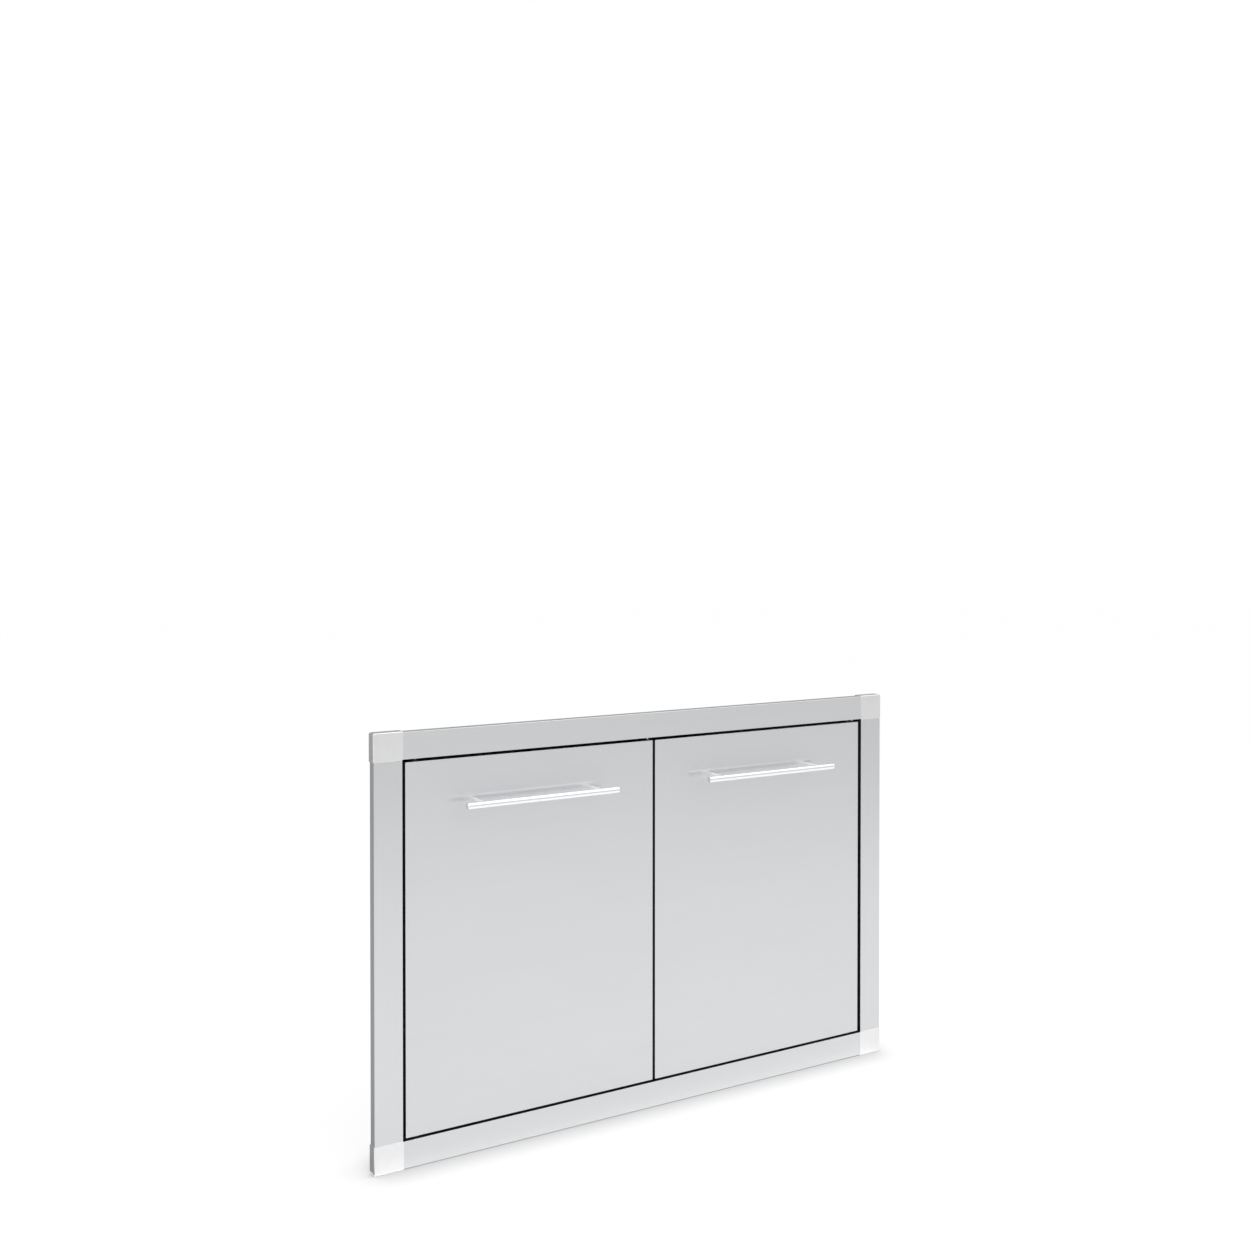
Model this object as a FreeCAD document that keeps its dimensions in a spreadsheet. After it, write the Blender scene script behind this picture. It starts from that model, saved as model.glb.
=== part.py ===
import FreeCAD, Part
import math
import os
import re
import Sketcher

# Built-in double access door for a barbecue island.
#
# The origin is the centre of the island's cut-out, in the plane of the island's front face.
# +X points to the viewer's right, +Y into the island and +Z up, in millimetres.
# Everything in front of the island, the frame and the two doors, has negative Y.
# The sleeve, which lines the cut-out, has positive Y.
#
# A piece named left is at negative X. Its twin on the right has the same sizes with side = 1.

# Driving dimensions, in millimetres

SIZES = {
    # Frame of four folded rails and four cast corners
    "frame_width": 914.4,
    "frame_height": 608.0,
    "side_face": 42.0,
    "level_face": 38.2,
    "rail_depth": 15.0,
    "rail_sheet": 1.5,
    "rail_lip": 16.0,
    "rail_bend": 1.0,
    "corner_proud": 1.2,
    "corner_front": 0.4,
    "corner_edge": 1.8,
    "corner_bend": 3.0,
    "corner_overlap": 1.2,
    "spigot_length": 38.0,
    "spigot_inset": 12.0,
    "spigot_clearance": 0.25,
    "corner_screw_setback": 22.0,
    # Sleeve that lines the cut-out
    "sleeve_sheet": 1.5,
    "sleeve_depth": 55.0,
    "sleeve_flange": 20.0,
    "hem_depth": 8.0,
    "hem_edge": 1.0,
    "cut_margin": 1.0,
    "fixing_radius": 2.6,
    "fixing_depth": 36.0,
    "fixing_pitch_z": 360.0,
    "fixing_pitch_x": 500.0,
    "seal_end": 6.0,
    # Doors
    "door_recess": 1.9,
    "door_thickness": 20.0,
    "side_gap": 5.0,
    "centre_gap": 4.4,
    "top_gap": 4.5,
    "bottom_gap": 3.0,
    "skin_sheet": 1.2,
    "skin_border": 12.0,
    "skin_edge": 0.6,
    "liner_sheet": 1.0,
    "liner_edge": 1.0,
    "edge_seal": 1.2,
    "wiper_sheet": 1.2,
    "wiper_height": 3.5,
    "lip_gap": 1.0,
    "lip_depth": 8.0,
    # Pivots and spring bolts
    "pivot_from_edge": 18.0,
    "pivot_from_face": 9.0,
    "pin_radius": 3.0,
    "pin_height": 14.0,
    "pin_point": 1.0,
    "running_fit": 0.05,
    "plate_fit": 0.1,
    "bush_radius": 4.5,
    "bush_flange": 6.0,
    "bush_flange_height": 2.2,
    "seal_clearance": 0.2,
    "bush_length": 9.0,
    "collar_radius": 5.5,
    "hinge_sheet": 1.5,
    "hinge_width": 44.0,
    "hinge_reach": 32.0,
    "hinge_screw_inset": 9.0,
    "hinge_screw_setback": 8.0,
    "plate_corner": 4.0,
    "bolt_engagement": 8.2,
    "bolt_height": 62.0,
    "bolt_bend": 6.0,
    "bolt_tab_reach": 14.0,
    "bolt_travel": 9.0,
    "rod_edge": 0.8,
    "slot_clearance": 0.6,
    "clip_radius": 5.6,
    "clip_height": 1.2,
    "spring_wire": 0.5,
    "spring_coil": 4.6,
    "spring_length": 18.0,
    "spring_pitch": 3.0,
    "guide_sheet": 1.5,
    "guide_width": 18.0,
    "guide_flange": 14.0,
    # Handles
    "bar_radius": 5.0,
    "bar_length": 248.0,
    "bar_chamfer": 0.5,
    "bar_standoff": 30.0,
    "bar_below_top": 64.2,
    "post_radius": 4.0,
    "post_pitch": 192.0,
    "post_thread": 14.0,
    "thread_spare": 2.0,
    "strip_length": 250.0,
    "strip_height": 26.0,
    "strip_sheet": 2.0,
    "spacer_radius": 4.0,
    # Magnetic catches and lower stop
    "catch_offset": 46.0,
    "catch_width": 46.0,
    "catch_depth": 18.0,
    "catch_height": 14.0,
    "catch_wall": 2.0,
    "catch_lug": 9.0,
    "catch_lug_height": 3.0,
    "catch_screw_depth": 9.0,
    "magnet_proud": 0.5,
    "strike_gap": 0.2,
    "strike_sheet": 1.0,
    "strike_width": 44.0,
    "strike_height": 12.0,
    "stop_width": 120.0,
    "stop_depth": 26.0,
    "stop_height": 24.0,
    "stop_sheet": 1.5,
    "stop_offset": 32.0,
    "stop_screw_offset": 46.0,
    "stop_screw_depth": 16.0,
    "bumper_radius": 6.0,
    "bumper_height": 4.6,
    "bumper_stem": 2.5,
    "barb_proud": 1.0,
    "barb_depth": 1.5,
    "bumper_gap": 0.2,
    # Screws
    "screw_radius": 2.0,
    "screw_clearance": 0.2,
    "pan_radius": 3.9,
    "pan_height": 2.2,
    "sunk_radius": 3.5,
    "socket_radius": 1.4,
    "socket_depth": 1.2,
    "short_screw": 7.0,
    "corner_screw": 9.0,
}

# Positions worked out from the driving dimensions, as formulas for the right-hand or upper piece

OPEN_X = "(frame_width / 2 - side_face)"
OPEN_Z = "(frame_height / 2 - level_face)"
EDGE_X = "(frame_width / 2)"
EDGE_Z = "(frame_height / 2)"
FRONT_Y = "(-rail_depth)"
WALL_Y = "(rail_sheet - rail_depth)"
SEAM_X = f"({OPEN_X} - corner_overlap)"
SEAM_Z = f"({OPEN_Z} - corner_overlap)"
SLEEVE_X = f"({OPEN_X} + sleeve_sheet)"
SLEEVE_Z = f"({OPEN_Z} + sleeve_sheet)"

FACE_Y = "(door_recess - rail_depth)"
BACK_Y = f"({FACE_Y} + door_thickness)"
EDGE_Y = f"({FACE_Y} + skin_sheet)"
LINER_Y = f"({FACE_Y} + 2 * skin_sheet)"
DOOR_OUTER = f"({OPEN_X} - side_gap)"
DOOR_INNER = "(centre_gap / 2)"
DOOR_MIDDLE = f"(({DOOR_OUTER} + {DOOR_INNER}) / 2)"
DOOR_TOP = f"({OPEN_Z} - top_gap)"
DOOR_FOOT = f"(bottom_gap - {OPEN_Z})"
LINER_OUTER = f"({DOOR_OUTER} - edge_seal)"
LINER_INNER = f"({DOOR_INNER} + edge_seal)"
LINER_TOP = f"({DOOR_TOP} - edge_seal)"
LINER_FOOT = f"({DOOR_FOOT} + edge_seal)"

PIVOT_X = f"({DOOR_OUTER} - pivot_from_edge)"
PIVOT_Y = f"({FACE_Y} + pivot_from_face)"
BOLT_TOP = f"({OPEN_Z} + bolt_engagement)"
TAB_Z = f"({BOLT_TOP} - bolt_height)"
TAB_REACH = f"({BACK_Y} - {PIVOT_Y} + bolt_tab_reach)"
BUSH_FOOT = f"({LINER_TOP} - bush_length)"
CLIP_Z = f"({BUSH_FOOT} - clip_height - plate_fit)"
GUIDE_TOP = f"({CLIP_Z} - spring_length)"

HANDLE_Z = f"({DOOR_TOP} - bar_below_top)"
BAR_Y = f"({FACE_Y} - bar_standoff)"

STRIKE_Y = f"({BACK_Y} + strike_sheet)"
MAGNET_Y = f"({STRIKE_Y} + strike_gap)"
CATCH_Y = f"({MAGNET_Y} + magnet_proud)"
CATCH_FOOT = f"({SLEEVE_Z} - catch_height)"
STOP_Y = f"({BACK_Y} + bumper_gap + bumper_height)"
BUMPER_Z = f"(stop_height - 1.5 * bumper_radius - {SLEEVE_Z})"

SIDES = {"left": -1, "right": 1}
LEVELS = {"bottom": -1, "top": 1}

X, Y, Z = FreeCAD.Vector(1, 0, 0), FreeCAD.Vector(0, 1, 0), FreeCAD.Vector(0, 0, 1)

doc = FreeCAD.newDocument("access_door")
sizes = doc.addObject("Spreadsheet::Sheet", "Sizes")
for row, (alias, size) in enumerate(SIZES.items(), start=1):
    sizes.set(f"A{row}", alias)
    sizes.set(f"B{row}", str(size))
    sizes.setAlias(f"B{row}", alias)
doc.recompute()

pieces = []


# Formulas and bindings


def formula(text):
    """Return the text with every size read from the sheet."""
    return re.sub(r"[a-z]+(?:_[a-z]+)+", lambda word: f"Sizes.{word.group()}", str(text))


def number(text):
    """Return the present value of a formula."""
    result = sizes.evalExpression(formula(text))
    return float(getattr(result, "Value", result))


def signed(sign, text):
    """Return a formula on the chosen side of the middle plane."""
    return f"({sign} * {text})"


def bind(thing, **properties):
    """Bind properties to formulas, with two underscores standing for a dot."""
    for name, text in properties.items():
        thing.setExpression(name.replace("__", "."), formula(text))


def place(thing, x=0, y=0, z=0, turn=None):
    """Turn a thing about its own origin and bind where that origin goes."""
    thing.Placement = FreeCAD.Placement(FreeCAD.Vector(), turn or FreeCAD.Rotation())
    bind(thing, Placement__Base__x=x, Placement__Base__y=y, Placement__Base__z=z)
    return thing


def keep(thing, label):
    """Name a finished piece and list it for writing."""
    thing.Label = label
    pieces.append(thing)
    return thing


# Sketches and features of a body


def new_body(label):
    """Start a piece that is built from sketches."""
    return keep(doc.addObject("PartDesign::Body", label), label)


def new_sketch(body, plane, offset):
    """Attach a sketch to one of the body's own planes, at a world coordinate along its normal."""
    sketch = body.newObject("Sketcher::SketchObject", "outline")
    planes = {feature.Role: feature for feature in body.Origin.OriginFeatures}
    sketch.AttachmentSupport = [(planes[f"{plane}_Plane"], "")]
    sketch.MapMode = "FlatFace"
    facing = -1 if plane == "XZ" else 1
    bind(sketch, AttachmentOffset__Base__z=signed(facing, f"({offset})"))
    return sketch


def pin_point(sketch, curve, point, place_x, place_y):
    """Hold a point of a curve at bound distances from the sketch's origin."""
    for kind, text in (("DistanceX", place_x), ("DistanceY", place_y)):
        index = sketch.addConstraint(Sketcher.Constraint(kind, -1, 1, curve, point, number(text)))
        sketch.setExpression(f"Constraints[{index}]", formula(text))


def draw_outline(sketch, corners):
    """Draw a closed outline of straight lines through bound corners."""
    spots = [FreeCAD.Vector(number(across), number(up), 0) for across, up in corners]
    first = sketch.GeometryCount
    count = len(spots)
    for index, spot in enumerate(spots):
        sketch.addGeometry(Part.LineSegment(spot, spots[(index + 1) % count]), False)
    for index, (across, up) in enumerate(corners):
        following = first + (index + 1) % count
        sketch.addConstraint(Sketcher.Constraint("Coincident", first + index, 2, following, 1))
        pin_point(sketch, first + index, 1, across, up)


def draw_circle(sketch, across, up, radius):
    """Draw a bound circle."""
    centre = FreeCAD.Vector(number(across), number(up), 0)
    curve = sketch.addGeometry(Part.Circle(centre, Z, number(radius)), False)
    pin_point(sketch, curve, 3, across, up)
    index = sketch.addConstraint(Sketcher.Constraint("Radius", curve, number(radius)))
    sketch.setExpression(f"Constraints[{index}]", formula(radius))


def rectangle(low_across, low_up, high_across, high_up):
    """Return the four corners of an upright rectangle."""
    return [(low_across, low_up), (high_across, low_up), (high_across, high_up), (low_across, high_up)]


def patch(side, level, low_x, low_z, high_x, high_z):
    """Return a rectangle that is given for the upper right and moved to the chosen side and level."""
    return rectangle(signed(side, f"({low_x})"), signed(level, f"({low_z})"),
                     signed(side, f"({high_x})"), signed(level, f"({high_z})"))


def both_sides(spots, radius):
    """Return the same circles on the right and on the left."""
    return [(signed(side, f"({x})"), y, radius) for side in SIDES.values() for x, y in spots]


def extrude(body, plane, start, end, outlines=(), circles=(), removing=False):
    """Add or remove a prism between two world coordinates along a plane's normal."""
    sketch = new_sketch(body, plane, start)
    for corners in outlines:
        draw_outline(sketch, corners)
    for across, up, radius in circles:
        draw_circle(sketch, across, up, radius)
    kind, name = ("Pocket", "cut") if removing else ("Pad", "prism")
    feature = body.newObject(f"PartDesign::{kind}", name)
    feature.Profile = sketch
    feature.Reversed = (plane == "XZ") != removing
    bind(feature, Length=f"({end}) - ({start})")
    doc.recompute()
    return feature


def revolve(body, corners):
    """Turn a bound outline about the body's own Z axis."""
    sketch = new_sketch(body, "XZ", 0)
    draw_outline(sketch, corners)
    feature = body.newObject("PartDesign::Revolution", "turned")
    feature.Profile = sketch
    feature.ReferenceAxis = (sketch, ["V_Axis"])
    feature.Angle = 360
    doc.recompute()
    return feature


def edges_at(shape, **levels):
    """Name the edges that lie wholly at the given coordinates."""
    targets = {axis: number(text) for axis, text in levels.items()}
    names = []
    for index, edge in enumerate(shape.Edges, start=1):
        box = edge.BoundBox
        spans = {"x": (box.XMin, box.XMax), "y": (box.YMin, box.YMax), "z": (box.ZMin, box.ZMax)}
        if all(abs(end - target) < 0.001 for axis, target in targets.items() for end in spans[axis]):
            names.append(f"Edge{index}")
    return names


def round_edges(body, radius, *places):
    """Round the edges that lie at each of the given places."""
    base = body.Tip
    names = sorted({name for levels in places for name in edges_at(base.Shape, **levels)})
    feature = body.newObject("PartDesign::Fillet", "rounding")
    feature.Base = (base, names)
    bind(feature, Radius=radius)
    doc.recompute()
    return feature


# Simple solids


def box(low, high):
    """Make a box between two bound corners."""
    solid = doc.addObject("Part::Box", "box")
    spans = [f"abs({far} - {near})" for near, far in zip(low, high)]
    bind(solid, Length=spans[0], Width=spans[1], Height=spans[2])
    corner = [f"min({near}; {far})" for near, far in zip(low, high)]
    return place(solid, *corner)


def cylinder(radius, length, x=0, y=0, z=0, along=Z):
    """Make a round bar that starts at a bound point and runs along a direction."""
    solid = doc.addObject("Part::Cylinder", "round")
    bind(solid, Radius=radius, Height=length)
    return place(solid, x, y, z, FreeCAD.Rotation(Z, along))


def cut(base, *tools):
    """Take the tools away from the base."""
    solid = doc.addObject("Part::Cut", "cut")
    solid.Base = base
    solid.Tool = tools[0] if len(tools) == 1 else fuse(*tools)
    return solid


def fuse(*parts):
    """Join solids into one."""
    solid = doc.addObject("Part::MultiFuse", "joined")
    solid.Shapes = list(parts)
    return solid


def group(label, parts):
    """Keep separate solids together as one piece."""
    bundle = doc.addObject("Part::Compound", label)
    bundle.Links = list(parts)
    return keep(bundle, label)


def screw(shank, x, y, z, along, sunk=False):
    """Make a socket-head screw whose seat is at a bound point and whose shank runs along a direction."""
    if sunk:
        head = doc.addObject("Part::Cone", "sunk_head")
        bind(head, Radius1="sunk_radius", Radius2="screw_radius", Height="sunk_radius - screw_radius")
        top = "0"
    else:
        head = cylinder("pan_radius", "pan_height", z="-pan_height")
        top = "-pan_height"
    socket = doc.addObject("Part::Prism", "socket")
    socket.Polygon = 6
    bind(socket, Circumradius="socket_radius", Height="socket_depth")
    place(socket, z=top)
    solid = cut(fuse(head, cylinder("screw_radius", shank)), socket)
    return place(solid, x, y, z, FreeCAD.Rotation(Z, along))


# Frame: folded rails between cast corners


def level_rail(label, level):
    """Fold the top or bottom rail: front wall, outer wall and a lip against the island."""
    body = new_body(label)
    section = [
        (FRONT_Y, OPEN_Z), (FRONT_Y, EDGE_Z), (0, EDGE_Z), (0, f"{EDGE_Z} - rail_lip"),
        ("-rail_sheet", f"{EDGE_Z} - rail_lip"), ("-rail_sheet", f"{EDGE_Z} - rail_sheet"),
        (WALL_Y, f"{EDGE_Z} - rail_sheet"), (WALL_Y, OPEN_Z),
    ]
    outline = [(y, signed(level, f"({z})")) for y, z in section]
    extrude(body, "YZ", f"-{SEAM_X}", SEAM_X, [outline])
    outer = signed(level, EDGE_Z)
    round_edges(body, "rail_bend", {"y": FRONT_Y, "z": outer}, {"y": 0, "z": outer})
    sink_corner_screws(body, [(signed(side, f"({OPEN_X} - corner_screw_setback)"),
                               signed(level, f"({EDGE_Z} - rail_lip / 2)")) for side in (-1, 1)])


def side_rail(label, side):
    """Fold the left or right rail to the same section as the level ones, with a wider face."""
    body = new_body(label)
    section = [
        (OPEN_X, FRONT_Y), (EDGE_X, FRONT_Y), (EDGE_X, 0), (f"{EDGE_X} - rail_lip", 0),
        (f"{EDGE_X} - rail_lip", "-rail_sheet"), (f"{EDGE_X} - rail_sheet", "-rail_sheet"),
        (f"{EDGE_X} - rail_sheet", WALL_Y), (OPEN_X, WALL_Y),
    ]
    outline = [(signed(side, f"({x})"), y) for x, y in section]
    extrude(body, "XY", f"-{SEAM_Z}", SEAM_Z, [outline])
    outer = signed(side, EDGE_X)
    round_edges(body, "rail_bend", {"y": FRONT_Y, "x": outer}, {"y": 0, "x": outer})
    sink_corner_screws(body, [(signed(side, f"({EDGE_X} - rail_lip / 2)"),
                               signed(level, f"({OPEN_Z} - corner_screw_setback)")) for level in (-1, 1)])


def sink_corner_screws(body, spots):
    """Countersink the rail's lip for the two screws that hold the corners."""
    sketch = new_sketch(body, "XZ", 0)
    for across, up in spots:
        draw_circle(sketch, across, up, "screw_radius")
    hole = body.newObject("PartDesign::Hole", "countersinks")
    hole.Profile = sketch
    doc.recompute()
    hole.DepthType = "Dimension"
    hole.HoleCutType = "Countersink"
    hole.DrillPoint = "Flat"
    hole.Reversed = True
    bind(hole, Diameter="2 * screw_radius", Depth="sunk_radius + rail_sheet",
         HoleCutDiameter="2 * sunk_radius", HoleCutCountersinkAngle="90")
    doc.recompute()


def corner(label, side, level):
    """Cast one corner: a plate, round at its outer edges, on a rebated block with two spigots."""
    body = new_body(label)

    def spot(x, z):
        return signed(side, f"({x})"), signed(level, f"({z})")

    outer_x = f"{EDGE_X} + corner_proud"
    outer_z = f"{EDGE_Z} + corner_proud"
    lip_x = f"{EDGE_X} - rail_lip"
    lip_z = f"{EDGE_Z} - rail_lip"
    rebate_x = f"{SLEEVE_X} + sleeve_sheet"
    rebate_z = f"{SLEEVE_Z} + sleeve_sheet"
    front = f"{FRONT_Y} - corner_front"
    plate = patch(side, level, SEAM_X, SEAM_Z, outer_x, outer_z)
    extrude(body, "XZ", front, WALL_Y, [plate])
    block = [
        spot(rebate_x, OPEN_Z), spot(lip_x, OPEN_Z), spot(lip_x, SEAM_Z), spot(outer_x, SEAM_Z),
        spot(outer_x, outer_z), spot(SEAM_X, outer_z), spot(SEAM_X, lip_z), spot(OPEN_X, lip_z),
        spot(OPEN_X, rebate_z), spot(rebate_x, rebate_z),
    ]
    extrude(body, "XZ", WALL_Y, 0, [block])
    far_x, far_z = signed(side, f"({outer_x})"), signed(level, f"({outer_z})")
    round_edges(body, "corner_bend", {"x": far_x, "z": far_z})
    round_edges(body, "corner_edge", {"y": front, "x": far_x}, {"y": front, "z": far_z})
    notch = patch(side, level, f"{SEAM_X} - cut_margin", f"{SEAM_Z} - cut_margin", OPEN_X, OPEN_Z)
    extrude(body, "XZ", f"{front} - cut_margin", WALL_Y, [notch], removing=True)
    near_x = f"{OPEN_X} + spigot_inset"
    near_z = f"{OPEN_Z} + spigot_inset"
    wall_x = f"{EDGE_X} - rail_sheet - spigot_clearance"
    wall_z = f"{EDGE_Z} - rail_sheet - spigot_clearance"
    spigots = [
        spot(f"{OPEN_X} - spigot_length", near_z), spot(near_x, near_z),
        spot(near_x, f"{OPEN_Z} - spigot_length"), spot(wall_x, f"{OPEN_Z} - spigot_length"),
        spot(wall_x, wall_z), spot(f"{OPEN_X} - spigot_length", wall_z),
    ]
    deep = f"{WALL_Y} + sleeve_sheet + spigot_clearance"
    extrude(body, "XZ", deep, "-rail_sheet", [spigots])
    screws = [
        (*spot(f"{OPEN_X} - corner_screw_setback", f"{EDGE_Z} - rail_lip / 2"), "screw_radius"),
        (*spot(f"{EDGE_X} - rail_lip / 2", f"{OPEN_Z} - corner_screw_setback"), "screw_radius"),
    ]
    extrude(body, "XZ", "-corner_screw", "-rail_sheet", circles=screws, removing=True)


def corner_screws():
    """Sink two screws into each corner's spigots through the rails' lips."""
    screws = []
    for side in SIDES.values():
        for level in LEVELS.values():
            for x, z in ((f"({OPEN_X} - corner_screw_setback)", f"({EDGE_Z} - rail_lip / 2)"),
                         (f"({EDGE_X} - rail_lip / 2)", f"({OPEN_Z} - corner_screw_setback)")):
                screws.append(screw("corner_screw", signed(side, x), 0, signed(level, z), -Y, sunk=True))
    group("corner_screws", screws)


# Sleeve: four folded plates that line the cut-out, with a seal behind the doors' edges


def sleeve_section(inside):
    """Return a sleeve plate's folds, as the distance from the middle and the depth along Y."""
    outside = f"{inside} + sleeve_sheet"
    hem = f"{outside} + sleeve_sheet"
    flange = f"{inside} + sleeve_flange"
    flange_back = f"{WALL_Y} + sleeve_sheet"
    hem_start = "sleeve_depth - hem_depth"
    return [
        (inside, WALL_Y), (inside, "sleeve_depth"), (hem, "sleeve_depth"), (hem, hem_start),
        (outside, hem_start), (outside, flange_back), (flange, flange_back), (flange, WALL_Y),
    ]


def level_sleeve(label, level):
    """Fold the sleeve's top or bottom: a flange behind the rail, a wall and a hemmed rear edge."""
    body = new_body(label)
    outside = f"{SLEEVE_Z} + sleeve_sheet"
    outline = [(f"({y})", signed(level, f"({z})")) for z, y in sleeve_section(SLEEVE_Z)]
    extrude(body, "YZ", f"-{SLEEVE_X}", SLEEVE_X, [outline])
    round_edges(body, "hem_edge", *[{"y": "sleeve_depth", "z": signed(level, f"({z})")}
                                    for z in (SLEEVE_Z, f"{outside} + sleeve_sheet")])
    notches = [patch(side, level, OPEN_X, outside, f"{SLEEVE_X} + cut_margin",
                     f"{SLEEVE_Z} + sleeve_flange + cut_margin") for side in SIDES.values()]
    extrude(body, "XZ", f"{WALL_Y} - cut_margin", f"{WALL_Y} + sleeve_sheet", notches, removing=True)
    held_inside = catch_screw_spots() if level > 0 else stop_screw_spots()
    holes = both_sides([("fixing_pitch_x / 2", "fixing_depth")], "fixing_radius")
    holes += both_sides(hinge_screw_spots() + held_inside, "screw_radius")
    holes += both_sides([(PIVOT_X, PIVOT_Y)], "pin_radius + plate_fit")
    low, high = sorted((signed(level, SLEEVE_Z), signed(level, f"({outside})")), key=number)
    extrude(body, "XY", low, high, circles=holes, removing=True)


def side_sleeve(label, side):
    """Fold the sleeve's left or right wall to the same section."""
    body = new_body(label)
    outside = f"{SLEEVE_X} + sleeve_sheet"
    outline = [(signed(side, f"({x})"), f"({y})") for x, y in sleeve_section(SLEEVE_X)]
    reach = f"({SLEEVE_Z} + sleeve_sheet)"
    extrude(body, "XY", f"-{reach}", reach, [outline])
    round_edges(body, "hem_edge", *[{"y": "sleeve_depth", "x": signed(side, f"({x})")}
                                    for x in (SLEEVE_X, f"{outside} + sleeve_sheet")])
    notches = [patch(side, level, outside, OPEN_Z, f"{SLEEVE_X} + sleeve_flange + cut_margin",
                     f"{reach} + cut_margin") for level in LEVELS.values()]
    extrude(body, "XZ", f"{WALL_Y} - cut_margin", f"{WALL_Y} + sleeve_sheet", notches, removing=True)
    fixings = [("fixing_depth", signed(level, "fixing_pitch_z / 2"), "fixing_radius")
               for level in LEVELS.values()]
    low, high = sorted((signed(side, SLEEVE_X), signed(side, f"({outside})")), key=number)
    extrude(body, "YZ", low, high, circles=fixings, removing=True)


def reveal_seal():
    """Line the front of the sleeve with a flat rubber seal, left open at the four hinge plates."""
    body = new_body("reveal_seal")
    ring = [rectangle(f"-{SLEEVE_X}", f"-{SLEEVE_Z}", SLEEVE_X, SLEEVE_Z),
            rectangle(f"-{OPEN_X}", f"-{OPEN_Z}", OPEN_X, OPEN_Z)]
    extrude(body, "XZ", WALL_Y, "seal_end", ring)
    gaps = [patch(side, level, f"{OPEN_X} - hinge_width", OPEN_Z, OPEN_X, f"{SLEEVE_Z} + cut_margin")
            for side in SIDES.values() for level in LEVELS.values()]
    extrude(body, "XZ", f"{WALL_Y} - cut_margin", "seal_end + cut_margin", gaps, removing=True)


# Hinge plates and lower pins


def hinge_screw_spots():
    """Return where each hinge plate is screwed to the sleeve."""
    return [(f"{OPEN_X} - hinge_screw_inset", "hinge_reach - hinge_screw_setback"),
            (f"{OPEN_X} - hinge_width + hinge_screw_inset", "hinge_reach - hinge_screw_setback")]


def hinge_plate(label, side, level):
    """Lay a flat plate on the sleeve, with a hole for the pin or bolt and two for its screws."""
    body = new_body(label)
    plate = patch(side, 1, f"{OPEN_X} - hinge_width", WALL_Y, OPEN_X, "hinge_reach")
    low, high = sorted((signed(level, SLEEVE_Z), signed(level, OPEN_Z)), key=number)
    extrude(body, "XY", low, high, [plate])
    round_edges(body, "plate_corner", *[{"x": signed(side, f"({x})"), "y": "hinge_reach"}
                                        for x in (OPEN_X, f"{OPEN_X} - hinge_width")])
    hole = "pin_radius + plate_fit" if level > 0 else "pin_radius"
    holes = [(signed(side, PIVOT_X), PIVOT_Y, hole)]
    holes += [(signed(side, f"({x})"), y, "screw_radius") for x, y in hinge_screw_spots()]
    extrude(body, "XY", low, high, circles=holes, removing=True)


def hinge_pin(label, side):
    """Turn the lower pin: a riveted foot, a collar that carries the door and a domed point."""
    body = new_body(label)
    collar_top = "(bottom_gap + edge_seal - bush_flange_height - running_fit)"
    top = "(bottom_gap + pin_height)"
    revolve(body, [
        (0, "-hinge_sheet"), ("pin_radius", "-hinge_sheet"), ("pin_radius", 0), ("collar_radius", 0),
        ("collar_radius", collar_top), ("pin_radius", collar_top), ("pin_radius", f"{top} - pin_point"),
        ("pin_radius - pin_point", top), (0, top),
    ])
    place(body, signed(side, PIVOT_X), PIVOT_Y, f"-{OPEN_Z}")


def hinge_plate_screws():
    """Screw the four hinge plates through the sleeve."""
    screws = []
    for side in SIDES.values():
        for level in LEVELS.values():
            for x, y in hinge_screw_spots():
                seat = signed(level, OPEN_Z)
                screws.append(screw("short_screw", signed(side, f"({x})"), y, seat, Z * level))
    group("hinge_plate_screws", screws)


# Magnetic catches above the doors and the stop below them


def catch_screw_spots():
    """Return where each catch is screwed to the sleeve's top."""
    reach = "(catch_width / 2 + catch_lug / 2)"
    return [(f"catch_offset {end} {reach}", f"{CATCH_Y} + catch_screw_depth") for end in "-+"]


def stop_screw_spots():
    """Return where the lower stop is screwed to the sleeve's bottom, on one side."""
    return [("stop_screw_offset", f"{STOP_Y} + stop_screw_depth")]


def catch_case(label, side):
    """Mould a catch's case: a block with a lug at each end and a pocket for its magnet."""
    body = new_body(label)
    low_x = "catch_offset - catch_width / 2"
    high_x = "catch_offset + catch_width / 2"
    case = patch(side, 1, low_x, CATCH_FOOT, high_x, SLEEVE_Z)
    extrude(body, "XZ", CATCH_Y, f"{CATCH_Y} + catch_depth", [case])
    lug_foot = f"{SLEEVE_Z} - catch_lug_height"
    lugs = patch(side, 1, f"{low_x} - catch_lug", lug_foot, f"{high_x} + catch_lug", SLEEVE_Z)
    extrude(body, "XZ", f"{CATCH_Y} + catch_wall", f"{CATCH_Y} + catch_depth", [lugs])
    pocket = patch(side, 1, f"{low_x} + catch_wall", f"{CATCH_FOOT} + catch_wall", f"{high_x} - catch_wall",
                   f"{SLEEVE_Z} - catch_wall")
    extrude(body, "XZ", CATCH_Y, f"{CATCH_Y} + catch_depth - catch_wall", [pocket], removing=True)
    holes = [(signed(side, f"({x})"), y, "screw_radius") for x, y in catch_screw_spots()]
    extrude(body, "XY", f"{SLEEVE_Z} - catch_lug_height", SLEEVE_Z, circles=holes, removing=True)


def catch_magnet(label, side):
    """Fill the catch's pocket with its magnet and pole plates, which stand slightly proud."""
    half = "(catch_width / 2 - catch_wall)"
    low = (signed(side, f"(catch_offset - {half})"), MAGNET_Y, f"({CATCH_FOOT} + catch_wall)")
    high = (signed(side, f"(catch_offset + {half})"), f"({CATCH_Y} + catch_depth - catch_wall)",
            f"({SLEEVE_Z} - catch_wall)")
    keep(box(low, high), label)


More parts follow.
